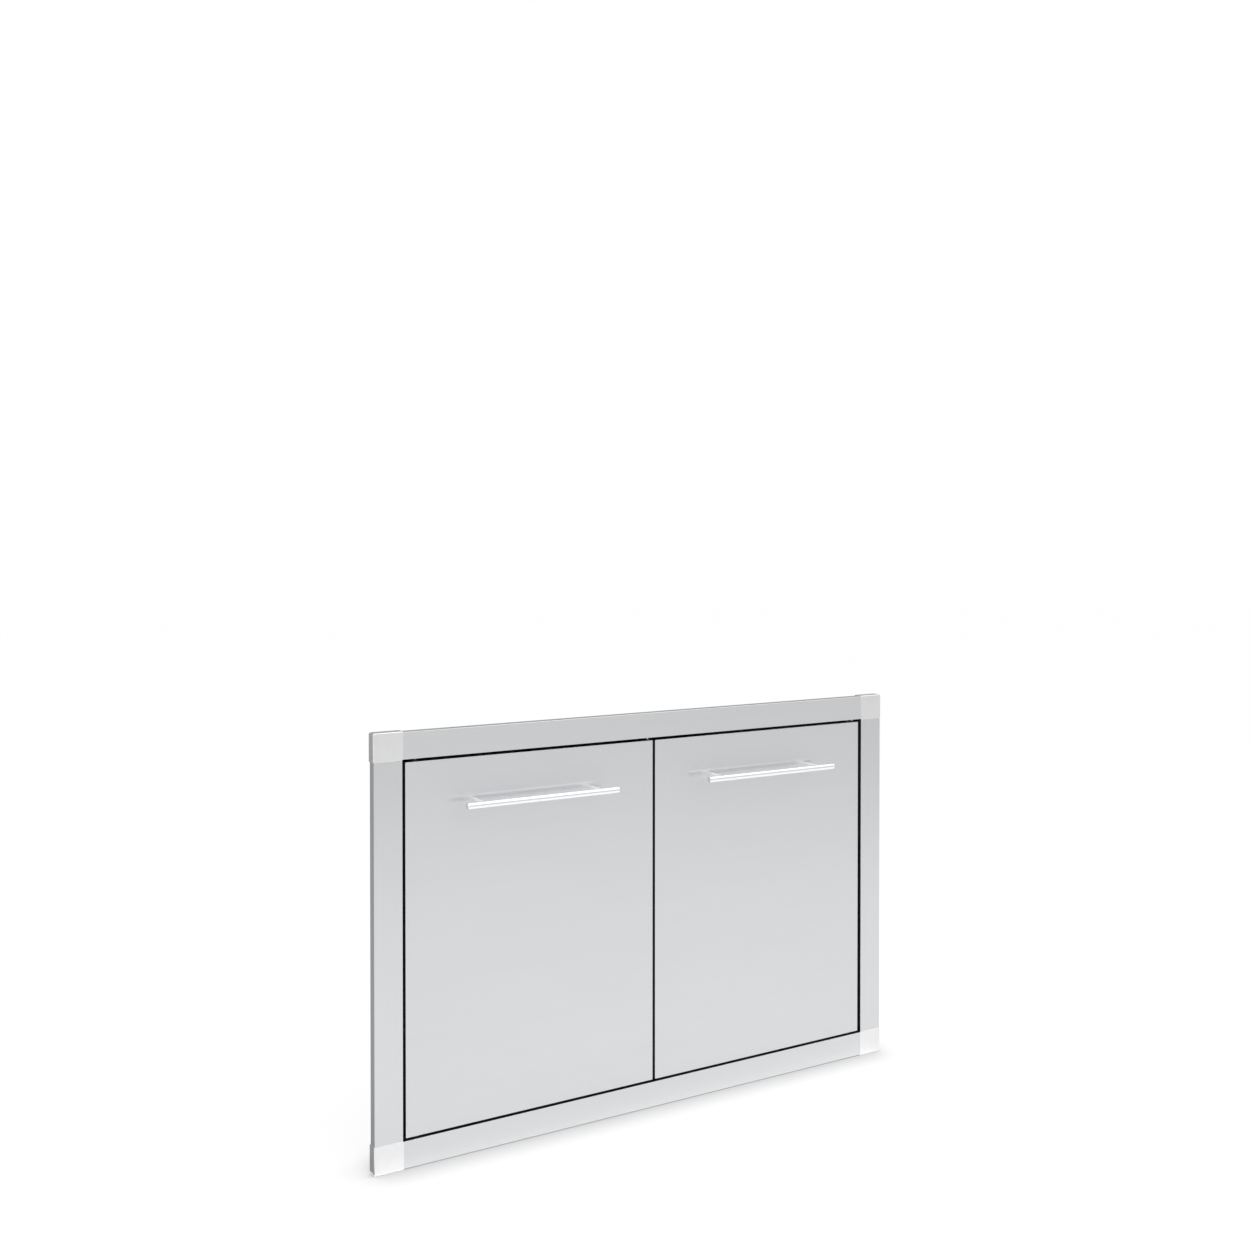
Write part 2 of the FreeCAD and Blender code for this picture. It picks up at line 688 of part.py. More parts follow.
def lower_stop():
    """Fold the stop bracket from an angle, with a hole for each bumper's stem."""
    body = new_body("stop_bracket")
    foot = f"-{SLEEVE_Z}"
    leg = f"stop_sheet - {SLEEVE_Z}"
    top = f"stop_height - {SLEEVE_Z}"
    rear = f"{STOP_Y} + stop_depth"
    bend = f"{STOP_Y} + stop_sheet"
    section = [(STOP_Y, foot), (rear, foot), (rear, leg), (bend, leg), (bend, top), (STOP_Y, top)]
    extrude(body, "YZ", "-stop_width / 2", "stop_width / 2", [section])
    tip_corners = [{"x": signed(side, "stop_width / 2"), "z": top} for side in (-1, 1)]
    foot_corners = [{"x": signed(side, "stop_width / 2"), "y": rear} for side in (-1, 1)]
    round_edges(body, "plate_corner", *tip_corners, *foot_corners)
    stems = both_sides([("stop_offset", BUMPER_Z)], "bumper_stem")
    extrude(body, "XZ", STOP_Y, bend, circles=stems, removing=True)
    holes = both_sides(stop_screw_spots(), "screw_radius")
    extrude(body, "XY", foot, leg, circles=holes, removing=True)


def bumpers():
    """Press a rubber bumper for each door into the stop bracket."""
    parts = []
    for side in SIDES.values():
        spot = {"x": signed(side, "stop_offset"), "z": BUMPER_Z, "along": Y}
        pad = cylinder("bumper_radius", "bumper_height", y=f"{STOP_Y} - bumper_height", **spot)
        stem = cylinder("bumper_stem", "stop_sheet + 2 * barb_depth", y=STOP_Y, **spot)
        barb = cylinder("bumper_stem + barb_proud", "barb_depth", y=f"{STOP_Y} + stop_sheet", **spot)
        parts.append(fuse(pad, stem, barb))
    group("stop_bumpers", parts)


def inner_screws():
    """Screw the catches and the stop bracket to the sleeve."""
    catch_screws = [screw("short_screw", signed(side, f"({x})"), y, f"{SLEEVE_Z} - catch_lug_height", Z)
                    for side in SIDES.values() for x, y in catch_screw_spots()]
    stop_screws = [screw("short_screw", signed(side, f"({x})"), y, f"stop_sheet - {SLEEVE_Z}", -Z)
                   for side in SIDES.values() for x, y in stop_screw_spots()]
    group("catch_screws", catch_screws)
    group("stop_bracket_screws", stop_screws)


# Doors: a bordered skin over a closed liner, with a rubber edge round them


def post_spots(side):
    """Return the places of a handle's two posts."""
    return [(f"({signed(side, DOOR_MIDDLE)} + {end} * post_pitch / 2)", HANDLE_Z) for end in (-1, 1)]


def door_skin(label, side):
    """Make the visible skin: a flat sheet with a border welded behind its edges to stiffen it."""
    body = new_body(label)
    face = patch(side, 1, DOOR_INNER, DOOR_FOOT, DOOR_OUTER, DOOR_TOP)
    extrude(body, "XZ", FACE_Y, EDGE_Y, [face])
    round_edges(body, "skin_edge", {"y": FACE_Y})
    border = patch(side, 1, LINER_INNER, LINER_FOOT, LINER_OUTER, LINER_TOP)
    inside = patch(side, 1, f"{DOOR_INNER} + skin_border", f"{DOOR_FOOT} + skin_border",
                   f"{DOOR_OUTER} - skin_border", f"{DOOR_TOP} - skin_border")
    extrude(body, "XZ", EDGE_Y, LINER_Y, [border, inside])
    holes = [(x, z, "screw_radius + screw_clearance") for x, z in post_spots(side)]
    extrude(body, "XZ", FACE_Y, EDGE_Y, circles=holes, removing=True)


def door_liner(label, side):
    """Press the liner: a pan open to the skin, with holes for bushes, screws and the bolt's tab."""
    body = new_body(label)
    outside = patch(side, 1, LINER_INNER, LINER_FOOT, LINER_OUTER, LINER_TOP)
    inside = patch(side, 1, f"{LINER_INNER} + liner_sheet", f"{LINER_FOOT} + liner_sheet",
                   f"{LINER_OUTER} - liner_sheet", f"{LINER_TOP} - liner_sheet")
    extrude(body, "XZ", LINER_Y, BACK_Y, [outside])
    round_edges(body, "liner_edge", {"y": BACK_Y})
    extrude(body, "XZ", LINER_Y, f"{BACK_Y} - liner_sheet", [inside], removing=True)
    bush = [(signed(side, PIVOT_X), PIVOT_Y, "bush_radius")]
    extrude(body, "XY", f"{LINER_TOP} - liner_sheet", LINER_TOP, circles=bush, removing=True)
    extrude(body, "XY", LINER_FOOT, f"{LINER_FOOT} + liner_sheet", circles=bush, removing=True)
    half_slot = "pin_radius + slot_clearance"
    slot = patch(side, 1, f"{PIVOT_X} - ({half_slot})", f"{TAB_Z} - bolt_travel - ({half_slot})",
                 f"{PIVOT_X} + {half_slot}", f"{TAB_Z} + {half_slot}")
    extrude(body, "XZ", f"{BACK_Y} - liner_sheet", BACK_Y, [slot], removing=True)
    screws = [(x, z, "screw_radius + screw_clearance") for x, z in post_spots(side)]
    extrude(body, "XZ", f"{BACK_Y} - liner_sheet", BACK_Y, circles=screws, removing=True)


def door_edge_seal(label, side):
    """Wrap the door in a rubber edge, with a lip towards the other door and a wiper over the top gap."""
    body = new_body(label)
    outside = patch(side, 1, DOOR_INNER, DOOR_FOOT, DOOR_OUTER, DOOR_TOP)
    inside = patch(side, 1, LINER_INNER, LINER_FOOT, LINER_OUTER, LINER_TOP)
    extrude(body, "XZ", EDGE_Y, BACK_Y, [outside, inside])
    lip = patch(side, 1, "lip_gap / 2", DOOR_FOOT, LINER_INNER, DOOR_TOP)
    extrude(body, "XZ", LINER_Y, f"{LINER_Y} + lip_depth", [lip])
    wiper = patch(side, 1, "lip_gap / 2", DOOR_TOP, DOOR_OUTER, f"{DOOR_TOP} + wiper_height")
    extrude(body, "XZ", f"{BACK_Y} - wiper_sheet", BACK_Y, [wiper])
    bush = [(signed(side, PIVOT_X), PIVOT_Y, "bush_flange + seal_clearance")]
    extrude(body, "XY", LINER_TOP, DOOR_TOP, circles=bush, removing=True)
    extrude(body, "XY", DOOR_FOOT, LINER_FOOT, circles=bush, removing=True)


def door_bush(label, side, upper):
    """Turn a nylon bush, whose flange lies outside the liner's edge."""
    body = new_body(label)
    bore = "pin_radius + running_fit"
    revolve(body, [
        (bore, "-bush_flange_height"), ("bush_flange", "-bush_flange_height"), ("bush_flange", 0),
        ("bush_radius", 0), ("bush_radius", "bush_length"), (bore, "bush_length"),
    ])
    if upper:
        place(body, signed(side, PIVOT_X), PIVOT_Y, LINER_TOP, FreeCAD.Rotation(X, 180))
    else:
        place(body, signed(side, PIVOT_X), PIVOT_Y, LINER_FOOT)


def strike_plate(label, side):
    """Weld a steel strike to the back of the door, opposite the catch."""
    low = (signed(side, "(catch_offset - strike_width / 2)"), BACK_Y, f"({LINER_TOP} - strike_height)")
    high = (signed(side, "(catch_offset + strike_width / 2)"), STRIKE_Y, f"({LINER_TOP} - liner_edge)")
    keep(box(low, high), label)


# Handles: a round bar on two posts, bolted through the door


def handle_bar(label, side):
    """Turn the bar with flat, chamfered ends and lay it level in front of the door."""
    body = new_body(label)
    half = "bar_length / 2"
    revolve(body, [
        (0, f"-{half}"), ("bar_radius - bar_chamfer", f"-{half}"),
        ("bar_radius", f"bar_chamfer - {half}"), ("bar_radius", f"{half} - bar_chamfer"),
        ("bar_radius - bar_chamfer", half), (0, half),
    ])
    place(body, signed(side, DOOR_MIDDLE), BAR_Y, HANDLE_Z, FreeCAD.Rotation(Y, 90))


def handle_posts(label, side):
    """Make the two posts, hollowed at the front to seat the bar and tapped at the back."""
    posts = []
    for x, z in post_spots(side):
        stem = cylinder("post_radius", "bar_standoff", x, FACE_Y, z, -Y)
        saddle = cylinder("bar_radius", "4 * post_radius", f"{x} - 2 * post_radius", BAR_Y, z, X)
        thread = cylinder("screw_radius", "post_thread", x, FACE_Y, z, -Y)
        posts.append(cut(stem, saddle, thread))
    group(label, posts)


def handle_fixings(side_name, side):
    """Clamp the handle with a stiffening strip, two spacers and two long screws through the door."""
    strip_back = f"({EDGE_Y} + strip_sheet)"
    liner_face = f"({BACK_Y} - liner_sheet)"
    middle = signed(side, DOOR_MIDDLE)
    strip = box((f"({middle} - strip_length / 2)", EDGE_Y, f"({HANDLE_Z} - strip_height / 2)"),
                (f"({middle} + strip_length / 2)", strip_back, f"({HANDLE_Z} + strip_height / 2)"))
    bore = "screw_radius + screw_clearance"
    bores = [cylinder(bore, "strip_sheet", x, EDGE_Y, z, Y) for x, z in post_spots(side)]
    keep(cut(strip, *bores), f"{side_name}_handle_strip")
    length = f"{liner_face} - {strip_back}"
    spacers = [cut(cylinder("spacer_radius", length, x, strip_back, z, Y),
                   cylinder(bore, length, x, strip_back, z, Y)) for x, z in post_spots(side)]
    group(f"{side_name}_handle_spacers", spacers)
    shank = "door_thickness + post_thread - thread_spare"
    screws = [screw(shank, x, BACK_Y, z, -Y) for x, z in post_spots(side)]
    group(f"{side_name}_handle_screws", screws)


# Spring bolts: the upper pivots, drawn down by a tab to lift the door off


def hinge_bolt(label, side):
    """Bend the bolt from round rod: a straight pivot above, a finger tab through the liner below."""
    body = new_body(label)
    path = new_sketch(body, "YZ", 0)
    draw_bolt_path(path)
    ring = new_sketch(body, "XY", "bolt_height")
    draw_circle(ring, 0, 0, "pin_radius")
    pipe = body.newObject("PartDesign::AdditivePipe", "rod")
    pipe.Profile = ring
    pipe.Spine = (path, [])
    doc.recompute()
    round_edges(body, "rod_edge", {"z": "bolt_height"}, {"y": TAB_REACH})
    clip = [(0, 0, "clip_radius")]
    foot = f"{CLIP_Z} - {TAB_Z}"
    extrude(body, "XY", foot, f"{foot} + clip_height", circles=clip)
    place(body, signed(side, PIVOT_X), PIVOT_Y, TAB_Z)


def draw_bolt_path(sketch):
    """Draw the bolt's centre line: up from the tab's end, round one bend to the pivot's top."""
    bend = number("bolt_bend")
    centre = FreeCAD.Vector(bend, bend, 0)
    top = FreeCAD.Vector(0, number("bolt_height"), 0)
    end = FreeCAD.Vector(number(TAB_REACH), 0, 0)
    quarter = Part.ArcOfCircle(Part.Circle(centre, Z, bend), math.pi, 1.5 * math.pi)
    sketch.addGeometry(Part.LineSegment(top, FreeCAD.Vector(0, bend, 0)), False)
    sketch.addGeometry(quarter, False)
    sketch.addGeometry(Part.LineSegment(FreeCAD.Vector(bend, 0, 0), end), False)
    sketch.addConstraint(Sketcher.Constraint("Tangent", 0, 2, 1, 1))
    sketch.addConstraint(Sketcher.Constraint("Tangent", 1, 2, 2, 1))
    pin_point(sketch, 0, 1, 0, "bolt_height")
    pin_point(sketch, 1, 3, "bolt_bend", "bolt_bend")
    pin_point(sketch, 2, 2, TAB_REACH, 0)


def bolt_spring(label, side):
    """Wind the spring that pushes the bolt up against its clip."""
    coil = doc.addObject("Part::Helix", "coil")
    bind(coil, Pitch="spring_pitch", Height="spring_length - 2 * spring_wire", Radius="spring_coil")
    wire = doc.addObject("Part::Circle", "wire")
    bind(wire, Radius="spring_wire")
    place(wire, x="spring_coil", turn=FreeCAD.Rotation(X, 90))
    spring = doc.addObject("Part::Sweep", label)
    spring.Sections = [wire]
    spring.Spine = (coil, [])
    spring.Solid = True
    spring.Frenet = True
    keep(spring, label)
    place(spring, signed(side, PIVOT_X), PIVOT_Y, f"{GUIDE_TOP} + spring_wire")


def bolt_guide(label, side):
    """Fold the bracket that guides the bolt and carries the spring's lower end."""
    body = new_body(label)
    rear = f"{BACK_Y} - liner_sheet"
    front = f"{PIVOT_Y} - bush_flange"
    inner = f"{rear} - guide_sheet"
    foot = f"{GUIDE_TOP} - guide_sheet"
    top = f"{GUIDE_TOP} + guide_flange"
    section = [(front, GUIDE_TOP), (front, foot), (rear, foot), (rear, top), (inner, top),
               (inner, GUIDE_TOP)]
    low, high = sorted((signed(side, f"({PIVOT_X} - guide_width / 2)"),
                        signed(side, f"({PIVOT_X} + guide_width / 2)")), key=number)
    extrude(body, "YZ", low, high, [section])
    hole = [(signed(side, PIVOT_X), PIVOT_Y, "pin_radius + plate_fit")]
    extrude(body, "XY", foot, GUIDE_TOP, circles=hole, removing=True)


def build_frame():
    """Build everything that is fixed to the island."""
    for level_name, level in LEVELS.items():
        level_rail(f"{level_name}_rail", level)
        level_sleeve(f"sleeve_{level_name}", level)
    for side_name, side in SIDES.items():
        side_rail(f"{side_name}_rail", side)
        side_sleeve(f"sleeve_{side_name}", side)
        for level_name, level in LEVELS.items():
            corner(f"corner_{level_name}_{side_name}", side, level)
            height = "upper" if level > 0 else "lower"
            hinge_plate(f"{side_name}_{height}_hinge_plate", side, level)
        hinge_pin(f"{side_name}_hinge_pin", side)
        catch_case(f"{side_name}_catch_case", side)
        catch_magnet(f"{side_name}_catch_magnet", side)
    reveal_seal()
    corner_screws()
    hinge_plate_screws()
    lower_stop()
    bumpers()
    inner_screws()


def build_door(side_name, side):
    """Build one door with its handle, bushes and spring bolt."""
    door_skin(f"{side_name}_door_skin", side)
    door_liner(f"{side_name}_door_liner", side)
    door_edge_seal(f"{side_name}_door_edge_seal", side)
    door_bush(f"{side_name}_upper_bush", side, upper=True)
    door_bush(f"{side_name}_lower_bush", side, upper=False)
    strike_plate(f"{side_name}_strike_plate", side)
    handle_bar(f"{side_name}_handle_bar", side)
    handle_posts(f"{side_name}_handle_posts", side)
    handle_fixings(side_name, side)
    hinge_bolt(f"{side_name}_hinge_bolt", side)
    bolt_spring(f"{side_name}_bolt_spring", side)
    bolt_guide(f"{side_name}_bolt_guide", side)


# Checks and writing

GROWING = ("PartDesign::Pad", "PartDesign::Revolution", "PartDesign::AdditivePipe")
SHRINKING = ("PartDesign::Pocket", "PartDesign::Hole", "PartDesign::Fillet")


def check_steps(body):
    """Stop if a feature of a body leaves the volume as it was or changes it the wrong way."""
    before = 0.0
    for feature in body.Group:
        if feature.TypeId not in GROWING + SHRINKING:
            continue
        change = feature.Shape.Volume - before
        if (change > 0) != (feature.TypeId in GROWING) or abs(change) < 0.01:
            raise RuntimeError(f"{body.Label}: {feature.Name} changes the volume by {change:.3f}")
        before = feature.Shape.Volume


def check_document():
    """Stop if any object has failed or any piece isn't a sound solid."""
    for thing in doc.Objects:
        if {"Invalid", "Error"} & set(thing.State):
            raise RuntimeError(f"{thing.Label} failed: {thing.State}")
    for piece in pieces:
        shape = piece.Shape
        if shape.isNull() or not shape.isValid() or not shape.Solids:
            raise RuntimeError(f"{piece.Label} has no sound shape")
        if piece.TypeId == "PartDesign::Body":
            check_steps(piece)


build_frame()
for door_name, door_side in SIDES.items():
    build_door(door_name, door_side)
doc.recompute()
check_document()

os.makedirs("parts", exist_ok=True)
for piece in pieces:
    piece.Shape.exportStep(f"parts/{piece.Label}.step")
print(len(pieces), "pieces written")
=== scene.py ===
"""Double access door of a barbecue island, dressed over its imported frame.

The origin is the centre of the island's cut-out, in the plane of its front face. +X points to the
viewer's right, +Y into the island and +Z up. Sizes are written in millimetres, and meshes are put
into the scene in metres.
"""

import logging
import math
from dataclasses import dataclass, field
from enum import Enum
from typing import ClassVar

import bmesh
import bpy
import numpy as np
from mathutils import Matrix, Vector


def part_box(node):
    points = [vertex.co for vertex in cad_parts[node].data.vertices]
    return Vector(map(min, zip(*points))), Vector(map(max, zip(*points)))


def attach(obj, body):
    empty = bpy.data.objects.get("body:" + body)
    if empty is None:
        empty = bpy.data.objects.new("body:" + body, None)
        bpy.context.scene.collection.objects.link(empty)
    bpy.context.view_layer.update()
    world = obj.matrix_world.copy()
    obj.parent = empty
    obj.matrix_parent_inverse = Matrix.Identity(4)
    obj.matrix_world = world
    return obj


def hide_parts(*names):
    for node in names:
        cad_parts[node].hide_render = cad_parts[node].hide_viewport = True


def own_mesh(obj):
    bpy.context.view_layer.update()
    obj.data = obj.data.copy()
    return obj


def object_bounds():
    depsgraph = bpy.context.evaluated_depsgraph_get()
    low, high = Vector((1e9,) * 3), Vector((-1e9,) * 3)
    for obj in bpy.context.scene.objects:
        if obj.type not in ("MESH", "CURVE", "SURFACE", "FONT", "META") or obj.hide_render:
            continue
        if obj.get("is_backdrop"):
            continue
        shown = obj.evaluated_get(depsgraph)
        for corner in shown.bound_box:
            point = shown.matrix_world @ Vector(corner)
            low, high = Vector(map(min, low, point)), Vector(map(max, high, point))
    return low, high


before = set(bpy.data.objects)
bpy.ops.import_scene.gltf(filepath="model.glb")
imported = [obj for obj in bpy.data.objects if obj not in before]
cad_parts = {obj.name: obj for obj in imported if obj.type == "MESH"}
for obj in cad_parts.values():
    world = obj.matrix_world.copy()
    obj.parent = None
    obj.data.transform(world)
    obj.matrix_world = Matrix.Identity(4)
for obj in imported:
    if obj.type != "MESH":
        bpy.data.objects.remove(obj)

log = logging.getLogger("access_door")

Array = np.ndarray
Colour = tuple[float, float, float, float]
Span = tuple[float, float]
Tree = bpy.types.NodeTree
Node = bpy.types.Node
Socket = bpy.types.NodeSocket

MM = 0.001
# Millimetres from a rounded edge to the point that keeps the flat part's shading flat
GUARD = 0.25
# Steps of a rounded corner's arc
ARC_STEPS = 6
# Least radius in millimetres that an inset corner keeps
LEAST_RADIUS = 0.05
# Angle in degrees above which a piece's edge looks crisp
SHARP = 35.0
# Distance in metres under which two points of a shell are one
MERGE = 1e-7
# Finer layers of a noise
SMOOTH, FINE, FINEST = 2.0, 3.0, 4.0
# Where most of a noise's values lie
NOISE_SPAN = (0.3, 0.7)
WHITE = (1.0, 1.0, 1.0, 1.0)


class Axis(Enum):
    """A direction of the object, as the index of its coordinate."""

    ACROSS = 0
    DEPTH = 1
    UP = 2


# Coordinates in the plane of the face
FACE = [Axis.ACROSS.value, Axis.UP.value]


class Hand(Enum):
    """A choice between two opposite parts of the object, as the sign of a coordinate."""

    @property
    def word(self) -> str:
        """Returns the name as the CAD nodes write it."""
        return self.name.lower()


class Side(Hand):
    """The two hands of the object, as the sign of X."""

    LEFT = -1
    RIGHT = 1


class Level(Hand):
    """Foot and head of the object, as the sign of Z."""

    BOTTOM = -1
    TOP = 1


# Surfaces


def node_box(node: str) -> tuple[Array, Array]:
    """Returns the lowest and highest corners of a CAD node's box, in millimetres."""
    low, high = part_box(node)
    return np.array(low) / MM, np.array(high) / MM


def quarter_turn(steps: int) -> Array:
    """Returns the angles of a quarter turn in equal steps, in radians, both ends included."""
    return np.radians(np.linspace(0, 90, steps + 1))


def full_turn(steps: int) -> Array:
    """Returns the angles of a full turn in equal steps, in radians, without its end."""
    return np.linspace(0, 2 * np.pi, steps, endpoint=False)


def points_at(x: Array, y: Array, z: Array) -> Array:
    """Returns the points with these coordinates, which are broadcast against each other."""
    return np.stack(np.broadcast_arrays(x, y, z), axis=-1)


def rounded_outline(corners: Array, radii: Array, steps: int = ARC_STEPS) -> Array:
    """Rounds every corner of a closed outline.

    With unit vectors a and b from a corner P to its neighbours and h half the angle between them,
    the arc of radius r is centred at P + (a + b) / |a + b| * r / sin h and touches the sides at
    P + a * r / tan h and P + b * r / tan h. Its points turn evenly from one touching point to the
    other, which holds for outer and inner corners alike. A point on each side, GUARD beyond the
    arc, keeps the flat part's shading flat.

    Args:
        corners: Corner points, as (corners, 2) or as (outlines, corners, 2).
        radii: One radius for each corner, in an array of the same shape without the last axis.
        steps: Steps of each arc.

    Returns:
        The points of each rounded outline, steps + 3 for each corner, in the corners' order.
    """
    corners = np.asarray(corners, float)
    radii = np.asarray(radii, float)[..., None]
    back = np.roll(corners, 1, axis=-2) - corners
    ahead = np.roll(corners, -1, axis=-2) - corners
    back /= np.linalg.norm(back, axis=-1, keepdims=True)
    ahead /= np.linalg.norm(ahead, axis=-1, keepdims=True)
    half = np.arccos(np.clip((back * ahead).sum(-1, keepdims=True), -1, 1)) / 2
    middle = (back + ahead) / np.linalg.norm(back + ahead, axis=-1, keepdims=True)
    centre = corners + middle * radii / np.sin(half)
    first = (corners + back * radii / np.tan(half) - centre)[..., None, :]
    last = (corners + ahead * radii / np.tan(half) - centre)[..., None, :]
    turn = (np.pi - 2 * half)[..., None]
    share = np.linspace(0, 1, steps + 1)[:, None]
    arc = (np.sin((1 - share) * turn) * first + np.sin(share * turn) * last) / np.sin(turn)
    before = first + back[..., None, :] * GUARD
    after = last + ahead[..., None, :] * GUARD
    points = centre[..., None, :] + np.concatenate([before, arc, after], axis=-2)
    return points.reshape(*corners.shape[:-2], -1, 2)


def inset_rectangle(low: Array, high: Array, radius: float, insets: Array) -> Array:
    """Draws one upright rectangle with rounded corners for each inset.

    A corner moves inwards by the inset d along both sides, and its radius r becomes
    max(r - d, LEAST_RADIUS).

    Args:
        low: Lowest corner in the plane.
        high: Highest corner in the plane.
        radius: Radius of the corners.
        insets: How far inside the rectangle each outline lies.

    Returns:
        An array of (insets, points, 2).
    """
    signs = np.array([(-1, -1), (1, -1), (1, 1), (-1, 1)])
    inset = np.asarray(insets, float)[:, None]
    corners = np.where(signs < 0, low, high) - signs * inset[..., None]
    return rounded_outline(corners, np.maximum(radius - inset, LEAST_RADIUS).repeat(4, axis=1))


def stand_up(outlines: Array, depths: Array) -> Array:
    """Returns outlines in X and Z as rings, each in the upright plane of its own depth Y."""
    return points_at(outlines[..., 0], np.asarray(depths, float)[:, None], outlines[..., 1])


def carry(outline: Array, axis: Axis, stations: Array) -> Array:
    """Carries a closed outline along a straight path.

    Args:
        outline: Points of (distance across the run, depth Y).
        axis: Direction of the run, across or up.
        stations: Coordinates along the run.

    Returns:
        Rings of (stations, points, 3).
    """
    offset, depth = outline.T
    if axis is Axis.ACROSS:
        return points_at(stations[:, None], depth, offset)
    return points_at(offset, depth, stations[:, None])


# Meshes


@dataclass
class Shell:
    """A closed shell, as rings of points, with a mark on the quads that are deburred edges."""

    rings: Array
    edges: Array | bool = False


def shell_faces(rings: Array, first: int) -> list[list[int]]:
    """Joins neighbouring rings with quads and closes both ends.

    Quad (i, j) has the points j and j + 1 of the rings i and i + 1.

    Args:
        rings: Array of (rings, points, 3).
        first: Index of the shell's first vertex.

    Returns:
        The faces as lists of vertex indices.
    """
    count, points = rings.shape[:2]
    grid = first + np.arange(count * points).reshape(count, points)
    following = np.roll(grid, -1, axis=1)
    quads = np.stack([grid[:-1], following[:-1], following[1:], grid[1:]], axis=-1).reshape(-1, 4)
    return quads.tolist() + [grid[0, ::-1].tolist(), grid[-1].tolist()]


def make_piece(node: str, made: str, shells: list[Shell], finishes: list["Finish"], body: str) -> bpy.types.Object:
    """Makes a piece from closed shells, dresses it and sets it on its body.

    Args:
        node: CAD node that it stands for.
        made: How it is made, which its name adds to the node's.
        shells: Its closed shells, in millimetres.
        finishes: The finish of its surfaces and, where edges are marked, the finish of those.
        body: CAD body that it rides on.

    Returns:
        The object, at the origin.
    """
    name = f"{node}_{made}"
    starts, faces, marks = [0], [], []
    for shell in shells:
        rings, points = shell.rings.shape[:2]
        faces += shell_faces(shell.rings, starts[-1])
        marks += [np.broadcast_to(shell.edges, (rings - 1, points)).ravel(), [False] * 2]
        starts.append(starts[-1] + rings * points)
    points = np.concatenate([shell.rings.reshape(-1, 3) for shell in shells]) * MM
    mesh = bpy.data.meshes.new(name)
    mesh.from_pydata(points.tolist(), [], faces)
    mesh.polygons.foreach_set("material_index", np.concatenate(marks).astype(np.int32))
    for finish in finishes:
        mesh.materials.append(finish.material())
    work = bmesh.new()
    work.from_mesh(mesh)
    work.verts.ensure_lookup_table()
    for corners in [work.verts[first:last] for first, last in zip(starts, starts[1:])]:
        bmesh.ops.remove_doubles(work, verts=corners, dist=MERGE)
    bmesh.ops.recalc_face_normals(work, faces=work.faces)
    work.to_mesh(mesh)
    work.free()
    mesh.shade_smooth()
    mesh.set_sharp_from_angle(angle=math.radians(SHARP))
    piece = bpy.data.objects.new(name, mesh)
    bpy.context.scene.collection.objects.link(piece)
    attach(piece, body)
    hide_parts(node)
    log.info("%s: %d faces of %s", name, len(mesh.polygons), finishes[0].name)
    return piece


def dress(node: str, finish: "Finish") -> None:
    """Gives a CAD node that keeps its shape its finish.

    Args:
        node: Name of the CAD node.
        finish: What the node is made of.
    """
    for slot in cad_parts[node].material_slots:
        slot.material = finish.material()
    log.info("%s: packed shape in %s", node, finish.name)


# Finishes


def linear(code: str, strength: float = 1.0) -> Colour:
    """Turns an sRGB hex value into a linear colour, by the standard's own curve.

    Args:
        code: Six hex digits.
        strength: Factor on the linear colour.

    Returns:
        Red, green, blue and an alpha of 1.
    """
    levels = np.array([int(code[i:i + 2], 16) for i in (0, 2, 4)]) / 255
    curved = ((levels + 0.055) / 1.055) ** 2.4
    levels = np.where(levels <= 0.04045, levels / 12.92, curved) * strength
    return (*levels.tolist(), 1.0)


def empty_tree(owner: bpy.types.ID) -> Tree:
    """Turns on the nodes of a material or world and clears them.

    Args:
        owner: The material or world.

    Returns:
        Its empty node tree.
    """
    owner.use_nodes = True
    owner.node_tree.nodes.clear()
    return owner.node_tree


def add_node(tree: Tree, kind: str, sockets: dict | None = None, **settings) -> Node:
    """Adds one node with its settings and links.

    Args:
        tree: Node tree to add to.
        kind: Blender's name of the node, without its ShaderNode.
        sockets: For each input, a value or the output that feeds it.
        **settings: Properties of the node itself.

    Returns:
        The node.
    """
    node = tree.nodes.new(f"ShaderNode{kind}")
    for name, value in settings.items():
        setattr(node, name, value)
    for name, value in (sockets or {}).items():
        if isinstance(value, Socket):
            tree.links.new(value, node.inputs[name])
        else:
            node.inputs[name].default_value = value
    return node


@dataclass(frozen=True)
class Pattern:
    """A noise whose features have a real size in millimetres.

    Their length along the grain is size too, unless along gives another.
    """

    size: float
    along: float | None = None
    layers: float = SMOOTH


@dataclass
class Surface:
    """A material's nodes, with its principled shader and the Object coordinates in metres."""

    tree: Tree
    shader: Node
    place: Socket

    def feed(self, name: str, value: Socket) -> None:
        """Links a value to the shader's input of that name."""
        self.tree.links.new(value, self.shader.inputs[name])

    def noise(self, pattern: Pattern, grain: Axis) -> Socket:
        """Adds a pattern's noise.

        Args:
            pattern: The pattern.
            grain: Direction of the grain.

        Returns:
            The noise's value, from 0 to 1.
        """
        lengths = np.full(3, pattern.size)
        lengths[grain.value] = pattern.along or pattern.size
        scale = tuple((1 / (lengths * MM)).tolist())
        mapped = add_node(self.tree, "Mapping", {"Vector": self.place, "Scale": scale}).outputs[0]
        return add_node(self.tree, "TexNoise", {"Vector": mapped, "Scale": 1.0,
                                                "Detail": pattern.layers}).outputs["Fac"]

    def raise_by(self, height: Socket, depth: float, strength: float) -> None:
        """Raises the surface by a height from 0 to 1.

        Args:
            height: The height.
            depth: Millimetres from 0 to 1.
            strength: Share of the relief that shows.
        """
        relief = add_node(self.tree, "Bump", {"Height": height, "Distance": depth * MM,
                                              "Strength": strength})
        self.feed("Normal", relief.outputs[0])


